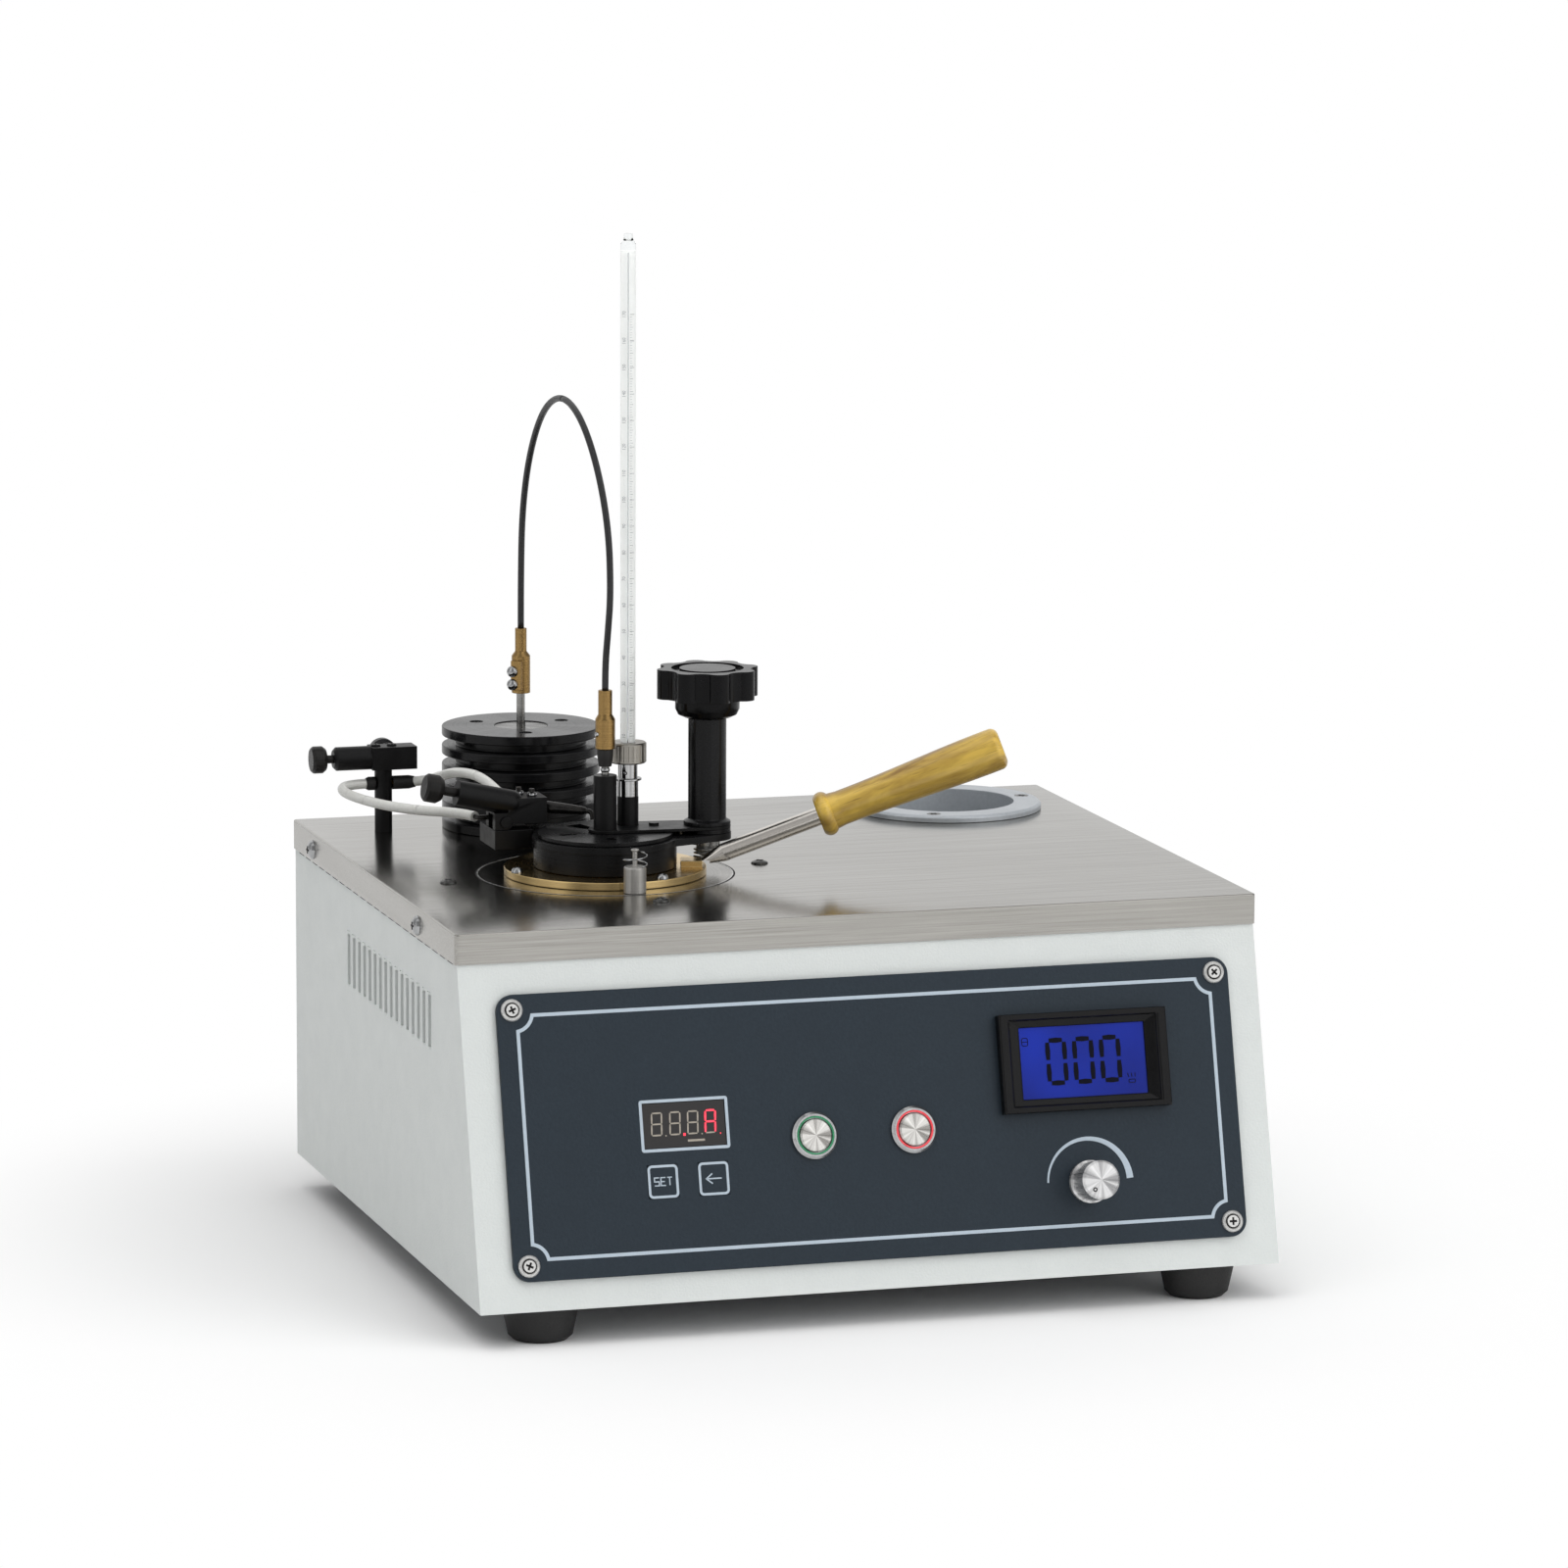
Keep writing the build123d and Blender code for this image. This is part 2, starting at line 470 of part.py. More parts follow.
# bridge from the two guide tubes to the foot of the column, clear over the shutter
foot_radius_column = column_radius + 1.8
bridge_outline = make_hull([
    *Circle(guide_radius + 2).edges(), *(Pos(collar_x, collar_y) * Circle(collar_radius + 2.4)).edges(),
    *(Pos(column_x, 0) * Circle(foot_radius_column)).edges(),
])
bridge = Pos(0, 0, bridge_under) * extrude(bridge_outline, bridge_thick)
neck_radius = 5.0
for x, y, radius in ((0, 0, guide_radius), (collar_x, collar_y, collar_radius), (column_x, 0, neck_radius)):
    bridge -= rod(x, y, bridge_under - 1, bridge_under + 2 * bridge_thick, radius + 0.05)
bridge += rod(collar_x + 9.5, 3.0, bridge_under, bridge_under + bridge_thick + 1.0, 2.0)

# operating column: a turned tube that the knob's shaft runs down. Its foot stands
# on the arm and holds the bridge, and is cut away where the shutter's ear swings.
bridge_top = bridge_under + bridge_thick
column = turned(
    column_x, 0, (shaft_radius + 0.05, lid_top), (foot_radius_column, lid_top),
    (foot_radius_column, bridge_top + 1.4), (column_radius, bridge_top + 2.4), (column_radius, column_top),
    (shaft_radius + 0.05, column_top),
)
neck = rod(column_x, 0, lid_top - 1, bridge_top, neck_radius)
column -= rod(0, 0, lid_top - 1, bridge_under, ear_reach + 0.4) - neck
column -= rod(column_x, 0, bridge_under, bridge_top, 2 * column_radius) - neck

# knob shaft with its crank below the arm, crank pin and end nut
crank_top = lid_under - 0.2
crank_low = crank_top - crank_thick
nut_stack, end_nut_radius = 3.0, 4.4
shaft_low = crank_low - nut_stack - 1.2
knob_low = column_top + running
shaft_top = knob_low + hub_high + star_high - 4
shaft = rod(0, 0, shaft_low, shaft_top, shaft_radius)
crank = make_hull([*Circle(4.4).edges(), *(Pos(crank_radius, 0) * Circle(crank_pin + 0.9)).edges()])
shaft += Rot(0, 0, crank_start) * Pos(0, 0, crank_low) * extrude(crank, crank_thick)
shaft += Rot(0, 0, crank_start) * Pos(crank_radius, 0, crank_low) * round_rod(
    crank_pin, shutter_top - crank_low - 0.3)
end_nut = Pos(0, 0, crank_low - nut_stack) * extrude(RegularPolygon(end_nut_radius, 6), nut_stack)
shaft = Pos(column_x, 0, 0) * (shaft + end_nut)

# star knob: hub, lobed head and a dished top for its cap
star = rod(0, 0, hub_high, hub_high + star_high, star_radius - 2.6)
for i in range(star_lobes):
    angle = 360 / star_lobes * i
    lobe = Pos(star_radius - 4.4, 0, hub_high) * Cylinder(4.4, star_high, align=UP)
    star += Rot(0, 0, angle) * lobe
    flute = Pos(star_radius + 3.4, 0, hub_high - 1) * Cylinder(6.6, star_high + 2, align=UP)
    star -= Rot(0, 0, angle + 180 / star_lobes) * flute
star -= Pos(0, 0, hub_high + star_high - 1.2) * (round_rod(14.2, 2) - round_rod(11.0, 2))
hub = turned(0, 0, (0, 0), (hub_radius - 3.4, 0), (hub_radius - 1.0, 1.2), (hub_radius, 3.4),
             (hub_radius, hub_high + 1), (0, hub_high + 1))
star = star + hub - Pos(0, 0, -1) * round_rod(shaft_radius, shaft_top - knob_low + 1)
star = Pos(column_x, 0, knob_low) * star

# return spring round the end nut, with a tail that goes up to the arm
spring_wire, spring_gap, spring_turns, spring_sides = 0.45, 0.5, 2.5, 8
spring_pitch = 2 * spring_wire + spring_gap
spring_radius = end_nut_radius + 0.45 + spring_wire
spring_low = crank_low - 0.6 - spring_wire - spring_turns * spring_pitch
spring_points = []
for i in range(int(spring_turns * spring_sides) + 1):
    angle = 2 * pi * (i / spring_sides - spring_turns)
    spring_points.append((spring_radius * cos(angle), spring_radius * sin(angle),
                          spring_low + spring_pitch * i / spring_sides))
spring_points.append((spring_radius, spring_wire * 3, spring_points[-1][2] + 0.2))
spring_points.append((spring_radius, spring_wire * 3, lid_under - running))
spring = Pos(column_x, 0, 0) * hose(spring_points, spring_wire, "return_spring", spring_sides)

# stirrer: shaft, small upper blades in the vapour and large lower blades in the oil
stir_low = cup_bottom + cup_floor + 3.5
stir_top = lid_top + guide_high + 3.4
stirrer = rod(0, 0, stir_low, stir_top, stirrer_radius)
for level, reach, blade_high in ((stir_low + 3.0, 16.0, 5.0), (cup_rim - 13.0, 9.5, 4.0)):
    stirrer += rod(0, 0, level - blade_high / 2, level + blade_high / 2, stirrer_radius + 1.2)
    for turn in (0, 180):
        blade = Pos(reach / 2, 0, 0) * Rot(45, 0, 0) * Box(reach, 0.8, blade_high)
        stirrer += Pos(0, 0, level) * Rot(0, 0, turn) * blade
joint_low, socket_top = stir_top, stir_top + 7.0
coupling_parts = turned(
    0, 0, (0, socket_top), (3.9, socket_top), (3.9, joint_low + 18.8), (2.75, joint_low + 20.6),
    (2.75, joint_low + 30.2), (0, joint_low + 30.2),
)
joint_socket = turned(0, 0, (0, joint_low), (2.5, joint_low), (3.2, joint_low + 4.5), (3.2, socket_top), (0, socket_top))
stirrer_end = joint_low + 30.2

# ---- burner -------------------------------------------------------------------
block_top = lid_top + 0.5
pivot_z = block_top + pivot_up
burner_back = burner_front + burner_deep
tongue_half, tongue_radius, slot_half = 3.0, 2.3, 3.2
tongue_y = burner_front + burner_deep / 2
pin_radius = 1.5
base_block = block(burner_left, base_block_right, burner_front, burner_front + base_block_deep,
                   block_top - base_block_high, block_top)
tongue = block(pivot_x - tongue_radius, pivot_x + tongue_radius, tongue_y - tongue_half,
               tongue_y + tongue_half, block_top - 1, pivot_z)
tongue += along(pivot_x, tongue_y - tongue_half, pivot_z, (0, 1, 0), round_rod(tongue_radius, 2 * tongue_half))
base_block += tongue
pin_line = along(pivot_x, burner_front - 0.4, pivot_z, (0, 1, 0), round_rod(pin_radius, burner_deep + 0.8))
base_block += pin_line
base_block += along(pivot_x, burner_front - 1.1, pivot_z, (0, 1, 0), round_rod(2.3, 0.9))

rocker_gap, step_high, rocker_high = 0.2, 6.9, 12.5
rocker_low = block_top + rocker_gap
rocker_raise = 2.4
side = [
    (burner_left, rocker_low), (pivot_x, rocker_low), (pivot_x + 2.9, pivot_z),
    (pivot_x + 3.4, block_top + rocker_raise), (burner_right, block_top + rocker_raise),
    (burner_right, block_top + rocker_high), (pivot_x + 1, block_top + rocker_high),
    (pivot_x + 1, block_top + step_high), (burner_left, block_top + step_high),
]
rocker_face = make_face(Polyline(*[(x, 0, z) for x, z in side], close=True))
rocker = Pos(0, burner_front, 0) * extrude(rocker_face, burner_deep, dir=(0, 1, 0))
rocker += along(pivot_x, burner_front, pivot_z, (0, 1, 0), round_rod(pivot_up - rocker_gap, burner_deep))
valve_dir = (-cos(radians(valve_tilt)), 0, sin(radians(valve_tilt)))
valve_y, valve_foot_x = burner_front + 4.3, pivot_x + 3
valve_foot_z = block_top + 10.4
rocker += along(valve_foot_x, valve_y, valve_foot_z, valve_dir, round_rod(valve_radius, valve_long))
rocker += along(valve_foot_x, valve_y, valve_foot_z, valve_dir, Sphere(valve_radius - 0.05))
rocker -= block(burner_left - 1, pivot_x + tongue_radius + 0.9, tongue_y - slot_half, tongue_y + slot_half,
                block_top - 1, pivot_z + tongue_radius + 0.4)
rocker -= along(pivot_x, burner_front - 2, pivot_z, (0, 1, 0), round_rod(pin_radius + 0.05, burner_deep + 4))
stem_radius = 1.6
valve_bore = along(valve_foot_x, valve_y, valve_foot_z, valve_dir,
                   Pos(0, 0, valve_long - 8) * round_rod(stem_radius + 0.05, 10))
rocker -= valve_bore
thumb = turned(0, 0, (0, valve_long - 7.5), (stem_radius, valve_long - 7.5), (stem_radius, valve_long + 0.3),
               (1.9, valve_long + 0.3), (1.9, valve_long + 5.2), (4.2, valve_long + 6.0), (5.6, valve_long + 8.0),
               (5.6, valve_long + 12.4), (4.6, valve_long + 13.4), (0, valve_long + 13.4))
valve_knob = along(valve_foot_x, valve_y, valve_foot_z, valve_dir, thumb)

# nozzle: tapered body on the rocker's right face, and a bent tip over opening A
tip_x, tip_y, tip_z = -1.2, 13.45, shutter_top + 2.7
nozzle_y, nozzle_z = burner_front + 5.0, block_top + 8.0
nozzle_path = FilletPolyline((burner_right - 1.5, nozzle_y + 0.9, nozzle_z), (tip_x - 0.5, tip_y + 0.45, nozzle_z - 0.9),
                             (tip_x, tip_y, tip_z), radius=[2.0])
nozzle = sweep(Plane(origin=nozzle_path @ 0, z_dir=nozzle_path % 0) * Circle(1.0), path=nozzle_path)
taper = Cone(2.3, 1.05, 10.0, align=UP)
nozzle += Plane(origin=nozzle_path @ 0, z_dir=nozzle_path % 0).location * taper
nozzle -= rocker
# gas spigots on the rocker: a bent one on the left face and one behind
spigot_z, spigot_y = block_top + 3.6, burner_front + 12.0
spigot_path = FilletPolyline((burner_left, spigot_y, spigot_z), (burner_left - 3.6, spigot_y, spigot_z),
                             (burner_left - 5.4, spigot_y + 5.2, spigot_z), radius=[1.6])
spigot = sweep(Plane(origin=spigot_path @ 0, z_dir=spigot_path % 0) * Circle(1.0), path=spigot_path)
rear_x, rear_z = burner_right - 11.0, block_top + 9.0
rear_spigot = along(rear_x, burner_back, rear_z, (0, 1, 0), round_rod(1.0, 4.0))
jets = [along(burner_right - dx, burner_front + dy, block_top + rocker_high, (0, 0, 1),
              turned(0, 0, (0, 0), (1.9, 0), (1.9, 1.4), (1.0, 1.8), (1.0, 3.0), (0, 3.0)))
        for dx, dy in ((9.0, 9.5), (5.0, 4.5))]

# ---- stirrer motor in its finned housing ----------------------------------------
fins = [(0, deck)]
housing_high = fin_count * fin_thick + (fin_count - 1) * fin_gap
housing_top = deck + housing_high
z = deck
for i in range(fin_count):
    fins += [(motor_radius, z), (motor_radius, z + fin_thick)]
    z += fin_thick
    if i < fin_count - 1:
        fins += [(motor_core_radius, z), (motor_core_radius, z + fin_gap)]
        z += fin_gap
fins += [(0, housing_top)]
housing = turned(*motor_at, *fins)
motor_body_radius, boss_radius = 18.0, 10.6
housing -= rod(*motor_at, deck - 1, housing_top - 4, motor_body_radius + running)
housing -= rod(*motor_at, deck, housing_top + 1, boss_radius + running)
motor = turned(*motor_at, (0, deck), (motor_body_radius, deck), (motor_body_radius, housing_top - 4),
               (boss_radius, housing_top - 4), (boss_radius, housing_top - 0.4), (0, housing_top - 0.4))
motor -= rod(*motor_at, housing_top - 14, housing_top, motor_shaft_radius + 0.05)
motor_screw_circle = 20.0
for i in range(3):
    angle = radians(20 + 120 * i)
    x = motor_at[0] + motor_screw_circle * cos(angle)
    y = motor_at[1] + motor_screw_circle * sin(angle)
    housing -= rod(x, y, housing_top - 3.0, housing_top + 1, 2.6)
    deck_screws.append(rod(x, y, housing_top - 3.0, housing_top - 0.5, 2.5))
coupling_low = housing_top + 13.2
drive = rod(*motor_at, housing_top - 13.8, coupling_low + 8, motor_shaft_radius)
drive -= block(motor_at[0] + motor_shaft_radius - 0.5, motor_at[0] + 5, motor_at[1] - 5, motor_at[1] + 5,
               housing_top + 2, coupling_low + 20)
drive_coupling = turned(
    *motor_at, (0, coupling_low), (3.75, coupling_low), (3.75, coupling_low + 15.2), (2.35, coupling_low + 17.0),
    (2.35, coupling_low + 26.4), (0, coupling_low + 26.4),
)
ear_dir = Rot(0, 0, -130)
drive_coupling += Pos(*motor_at, coupling_low) * ear_dir * Pos(3.4, 0, 7.5) * Box(3.0, 4.6, 12.0)
drive_coupling -= drive
drive_end = coupling_low + 26.4

# flexible shaft from the motor's coupling over to the stirrer's coupling
m_x, m_y = motor_x, motor_y
cable = hose([
    (m_x, m_y, drive_end), (m_x, m_y, drive_end + 20), (m_x + 0.2, m_y - 1.7, drive_end + 49),
    (m_x + 0.5, m_y - 12.8, drive_end + 74), (m_x + 0.9, m_y - 32.5, drive_end + 93.5),
    (m_x + 1.5, m_y - 57.5, drive_end + 101.5), (m_x + 2.1, m_y - 83.5, drive_end + 96),
    (m_x + 2.7, m_y - 106.5, drive_end + 78.5), (m_x + 3.1, m_y - 121, drive_end + 55.5),
    (m_x + 3.3, m_y - 123.2, drive_end + 31), (0, -4.0, stirrer_end + 23.4), (0, 0, stirrer_end + 10),
    (0, 0, stirrer_end),
], cable_radius, "flexible_shaft")

# ---- gas post -------------------------------------------------------------------
head_low = deck + post_high
head_mid = head_low + head_high / 2
px, py = post_at
post = rod(px, py, cabinet_top - 8, head_low, post_radius)
post += rod(px, py, cabinet_top - 5, cabinet_top, post_radius + 3.5)
head = block(px - 5.5, px - 5.5 + head_wide, py - head_deep / 2, py + head_deep / 2, head_low, head_low + head_high)
gas_knobs, valve_arm = [], 15.3
for origin, out in (((px - 5.5, py, head_mid), (-1, 0, 0)), ((px + 3, py + head_deep / 2, head_mid), (0, 1, 0))):
    reach = valve_arm if out[0] else 2.0
    arm_shape = turned(0, 0, (0, 0), (4.8, 0), (4.8, reach - 1.2), (3.6, reach), (0, reach))
    head += along(*origin, out, arm_shape)
    head -= along(*origin, out, Pos(0, 0, reach - 5) * round_rod(1.7, 6))
    knob = turned(0, 0, (0, reach - 4.6), (1.65, reach - 4.6), (1.65, reach + 0.4), (1.7, reach + 2.6),
                  (4.4, reach + 3.2), (5.5, reach + 4.6), (5.5, reach + 8.2), (4.6, reach + 9.2), (0, reach + 9.2))
    gas_knobs.append(along(*origin, out, knob))
barb_shape = turned(0, 0, (0, 0), (1.3, 0), (1.3, 4.2), (1.7, 4.2), (1.3, 6.2), (0, 6.2))
barbs = [along(px + side * post_radius, py, deck + barb_z, (side, 0, 0), barb_shape) for side in (-1, 1)]

# two limp gas hoses from the post to the burner, each pushed over its barbs
front_start = Vector(post_x - post_radius - 1.4, post_y, deck + barb_z)
rear_start = Vector(post_x + post_radius + 1.4, post_y, deck + barb_z)
front_end = spigot_path @ 1 - (spigot_path % 1) * 3.0
rear_end = Vector(rear_x, burner_back + 1.0, rear_z)
hoses = [
    hose([front_start, front_start - (9.5, 0, 0), (-79.8, post_y - 5.5, deck + 18.6),
          (-77.0, post_y - 15.0, deck + 17.2), (-69.5, 82.0, deck + 16.6), (-60.0, 61.5, deck + 17.4),
          front_end + (spigot_path % 1) * 11.0, front_end], hose_radius, "front_hose"),
    hose([rear_start, rear_start + (9.5, 0, 0), (-41.2, post_y - 4.6, deck + 21.2),
          (-40.4, post_y - 16.5, deck + 24.4), (-38.6, 81.0, deck + 29.0), (-34.2, 61.0, deck + 30.2),
          rear_end + (0, 10.5, 0), rear_end], hose_radius, "rear_hose"),
]
spigot_room = sweep(Plane(origin=spigot_path @ 0, z_dir=spigot_path % 0) * Circle(1.05), path=spigot_path)
rear_room = along(rear_x, burner_back, rear_z, (0, 1, 0), round_rod(1.05, 4.2))
hoses[0] = hoses[0] - Pos(-cup_x, -cup_y, 0) * barbs[0] - spigot_room
hoses[1] = hoses[1] - Pos(-cup_x, -cup_y, 0) * barbs[1] - rear_room

# ---- resting place for a hot cup ---------------------------------------------------
rest_wall, rest_screw_circle = 1.8, 34.0
rest = turned(
    *rest_at, (rest_bore, deck + rest_lip), (rest_radius - 1.0, deck + rest_lip), (rest_radius, deck + rest_lip - 1.0),
    (rest_radius, deck), (rest_bore + rest_wall, deck), (rest_bore + rest_wall, deck - rest_deep - rest_wall),
    (0, deck - rest_deep - rest_wall), (0, deck - rest_deep), (rest_bore, deck - rest_deep),
)
for i in range(3):
    angle = radians(4 + 120 * i)
    x, y = rest_at[0] + rest_screw_circle * cos(angle), rest_at[1] + rest_screw_circle * sin(angle)
    sunk = turned(x, y, (0, deck - 7), (1.5, deck - 7), (1.5, deck + rest_lip - 1.5),
                  (2.9, deck + rest_lip - 0.1), (0, deck + rest_lip - 0.1))
    hole = turned(x, y, (0, deck - 8), (1.6, deck - 8), (1.6, deck + rest_lip - 1.5),
                  (3.1, deck + rest_lip), (3.1, deck + rest_lip + 1), (0, deck + rest_lip + 1))
    rest -= hole
    cover -= hole
    deck_screws.append(sunk)

# ---- control panel ------------------------------------------------------------------
panel = on_panel(panel_x, panel_s, 0, extrude(RectangleRounded(panel_wide, panel_high, panel_corner), panel_thick))
panel_screws = []
screw_dx, screw_ds = panel_wide / 2 - panel_screw_inset, panel_high / 2 - panel_screw_inset
screw_shape = turned(0, 0, (0, -8), (1.5, -8), (1.5, panel_thick), (4.3, panel_thick), (4.3, panel_thick + 0.5),
                     (3.1, panel_thick + 1.0), (1.8, panel_thick + 1.5), (0, panel_thick + 1.7))
for dx in (-screw_dx, screw_dx):
    for ds in (-screw_ds, screw_ds):
        spot = (panel_x + dx, panel_s + ds)
        hole = on_panel(*spot, -9, round_rod(1.6, 14))
        panel -= hole
        cabinet -= hole
        panel_screws.append(on_panel(*spot, 0, screw_shape))


def window(x, s, wide, high):
    return on_panel(x, s, -1, Box(wide, high, panel_thick + 2, align=UP))


fit = 0.2
panel -= window(window_x, window_s, window_wide, window_high)
panel -= window(meter_x, meter_s, meter_wide - 3.2, meter_high - 3.0)
for x in (key_x, key_x + key_pitch):
    panel -= window(x, key_s, key_wide, key_high)
for x in (start_x, stop_x):
    panel -= on_panel(x, button_s, -1, round_rod(barrel_radius + fit, panel_thick + 2))
panel -= on_panel(dial_x, dial_s, -1, round_rod(3.7, panel_thick + 2))

# display board: digits behind the window, two switches under the keys, four posts
board_deep, switch_high = 7.6, 3.5
board_s, board_wide, board_high = (window_s + key_s) / 2, window_wide + 12, key_s - window_s + 27
display = on_panel(window_x, board_s, -board_deep, Box(board_wide, board_high, 1.6, align=UP))
display += on_panel(window_x, window_s, -board_deep + 1,
                    Box(window_wide - 2 * fit, window_high - 2 * fit, board_deep - 1 + panel_thick - 0.4, align=UP))
for dx in (-board_wide / 2 + 2.5, board_wide / 2 - 2.5):
    for ds in (-board_high / 2 + 2.5, board_high / 2 - 2.5):
        display += on_panel(window_x + dx, board_s + ds, -board_deep, round_rod(2.0, board_deep))
switch_top = -board_deep + 1.6 + switch_high
for x in (key_x, key_x + key_pitch):
    display += on_panel(x, key_s, -board_deep + 1, Box(6, 6, 0.6 + switch_high, align=UP))
keys = []
for x in (key_x, key_x + key_pitch):
    tile = Pos(0, 0, -0.05) * Box(key_wide - 2 * fit, key_high - 2 * fit, panel_thick + 0.25, align=UP)
    tile += Pos(0, 0, -0.75) * Box(key_wide + 2.4, key_high + 2.4, 0.7, align=UP)
    stalk = switch_top + key_travel + 0.05
    tile += Pos(0, 0, stalk) * round_rod(1.8, -stalk)
    keys.append(on_panel(x, key_s, 0, tile))

# push buttons: chromed body, lamp ring and a brushed cap that travels
bezel_high, ring_inner, ring_outer = 2.0, cap_radius + 0.45, 7.35
button_face = panel_thick + bezel_high
bodies, rings, caps = [], [], []
for x in (start_x, stop_x):
    body = turned(
        0, 0, (0, -21), (barrel_radius - 1, -21), (barrel_radius - 1, -3.2), (barrel_radius, -3.2),
        (barrel_radius, panel_thick), (button_radius, panel_thick), (button_radius, button_face - 0.9),
        (button_radius - 0.9, button_face), (ring_outer, button_face), (ring_outer, button_face - 1.2),
        (ring_inner, button_face - 1.2), (cap_radius + 0.15, button_face - 1.2), (cap_radius + 0.15, -3.0), (0, -3.0),
    )
    nut_ring = extrude(RegularPolygon(11.0, 6), 3.0) - round_rod(barrel_radius, 4)
    body += Pos(0, 0, -3.0) * nut_ring
    bodies.append(on_panel(x, button_s, 0, body))
    ring = Pos(0, 0, button_face - 1.2) * (round_rod(ring_outer, 1.3) - round_rod(ring_inner, 2))
    rings.append(on_panel(x, button_s, 0, ring))
    cap = turned(0, 0, (0, -3.0 + button_travel + 0.3), (cap_radius, -3.0 + button_travel + 0.3),
                 (cap_radius, button_face + 0.2), (cap_radius - 0.5, button_face + 0.6), (0, button_face + 0.6))
    caps.append(on_panel(x, button_s, 0, cap))

# panel meter: black bezel with a sleeve, and the module that fits in it
bezel_out = 4.4
bezel = extrude(Rectangle(meter_wide, meter_high), bezel_out)
bezel = chamfer(bezel.faces().sort_by(Axis.Z)[-1].edges(), 1.3)
bezel = Pos(0, 0, panel_thick) * bezel
bezel += Pos(0, 0, -8) * Box(meter_wide - 3.6, meter_high - 3.4, 8 + panel_thick, align=UP)
module_wide, module_high = meter_wide - 6.4, meter_high - 6.2
bezel -= Pos(0, 0, -9) * Box(module_wide, module_high, 9 + panel_thick + 1.4, align=UP)
bezel -= Box(glass_wide, glass_high, 30)
bezel = on_panel(meter_x, meter_s, 0, bezel)
module = Pos(0, 0, -13) * Box(module_wide - 0.2, module_high - 0.2, 13 + panel_thick + 1.3, align=UP)
module = on_panel(meter_x, meter_s, 0, module)

# power control behind the dial
control = turned(0, 0, (0, -10), (8.5, -10), (8.5, 0), (3.5, 0), (3.5, panel_thick + 2), (dial_shaft, panel_thick + 2),
                 (dial_shaft, panel_thick + dial_reach - 3), (0, panel_thick + dial_reach - 3))
control = on_panel(dial_x, dial_s, 0, control)
dial = turned(
    0, 0, (3.9, panel_thick + 0.4), (dial_radius + 0.75, panel_thick + 0.4), (dial_radius + 0.75, panel_thick + 2.2),
    (dial_radius, panel_thick + 2.6), (dial_radius, panel_thick + dial_reach - 0.8),
    (dial_radius - 0.8, panel_thick + dial_reach), (0, panel_thick + dial_reach),
    (0, panel_thick + dial_reach - 2.8), (dial_shaft + 0.05, panel_thick + dial_reach - 2.8),
    (dial_shaft + 0.05, panel_thick + 2.4), (3.9, panel_thick + 2.4),
)
flute_count = 32
for i in range(flute_count):
    angle = 360 / flute_count * i
    groove = Pos(dial_radius + 0.12, 0, panel_thick + 3.4) * round_rod(0.35, dial_reach - 5)
    dial -= Rot(0, 0, angle) * groove
dial = on_panel(dial_x, dial_s, 0, dial)

# ---- inside and rear -------------------------------------------------------------------
floor_z = ledge_low
transformer_at = (left + 245.0, cover_front + 130.0)
tx, ty = transformer_at
transformer = block(tx - 32, tx + 32, ty - 28, ty + 28, floor_z + 8, floor_z + 60)
transformer += block(tx - 20, tx + 20, ty - 36, ty + 36, floor_z + 15, floor_z + 50)
transformer += block(tx - 38, tx + 38, ty - 28, ty - 20, floor_z, floor_z + 9)
transformer += block(tx - 38, tx + 38, ty + 20, ty + 28, floor_z, floor_z + 9)
bx, by = left + 70.0, cover_front + 215.0
control_board = block(bx - 50, bx + 50, by - 32, by + 32, floor_z + 10, floor_z + 11.6)
for dx in (-45, 45):
    for dy in (-27, 27):
        control_board += rod(bx + dx, by + dy, floor_z, floor_z + 10, 3)
control_board += block(bx - 38, bx - 14, by - 20, by + 8, floor_z + 11, floor_z + 30)
control_board += block(bx + 4, bx + 30, by - 16, by - 10, floor_z + 11, floor_z + 34)
control_board += rod(bx + 18, by + 14, floor_z + 11, floor_z + 28, 8)
inlet_z = foot_height + inlet_up
inlet_spot = (left + inlet_x, cabinet_back, inlet_z)
inlet = along(*inlet_spot, (0, 1, 0), turned(
    0, 0, (0, -8), (3.9, -8), (3.9, 0), (7.0, 0), (7.0, 3.0), (inlet_radius, 4.0),
    (inlet_radius, inlet_long + cover_sheet - 3.4), (inlet_radius + 0.8, inlet_long + cover_sheet - 3.4),
    (inlet_radius - 0.6, inlet_long + cover_sheet), (0, inlet_long + cover_sheet)))
inlet -= along(*inlet_spot, (0, 1, 0), Pos(0, 0, -9) * round_rod(1.6, inlet_long + 12))
cabinet -= along(*inlet_spot, (0, 1, 0), Pos(0, 0, -5) * round_rod(4.0, 8))
inlet += along(*inlet_spot, (0, 1, 0), Pos(0, 0, -wall - 2.5) * (extrude(RegularPolygon(7.5, 6), 2.5)
                                                                    - round_rod(3.8, 3)))
sx, sz = left + socket_x, foot_height + socket_up
socket = block(sx - socket_wide / 2 + 1.2, sx + socket_wide / 2 - 1.2, cabinet_back - 18, cabinet_back + 1,
               sz - socket_high / 2 + 1.2, sz + socket_high / 2 - 1.2)
socket += block(sx - socket_wide / 2 - 9, sx + socket_wide / 2 + 9, cabinet_back, cabinet_back + 2.2,
                sz - socket_high / 2 - 1.5, sz + socket_high / 2 + 1.5)
socket -= block(sx - 12, sx + 12, cabinet_back - 14, cabinet_back + 3, sz - 8, sz + 8)
for dx, dz in ((-7, -2), (0, 2), (7, -2)):
    socket += block(sx + dx - 1, sx + dx + 1, cabinet_back - 15, cabinet_back - 4, sz + dz - 2, sz + dz + 2)
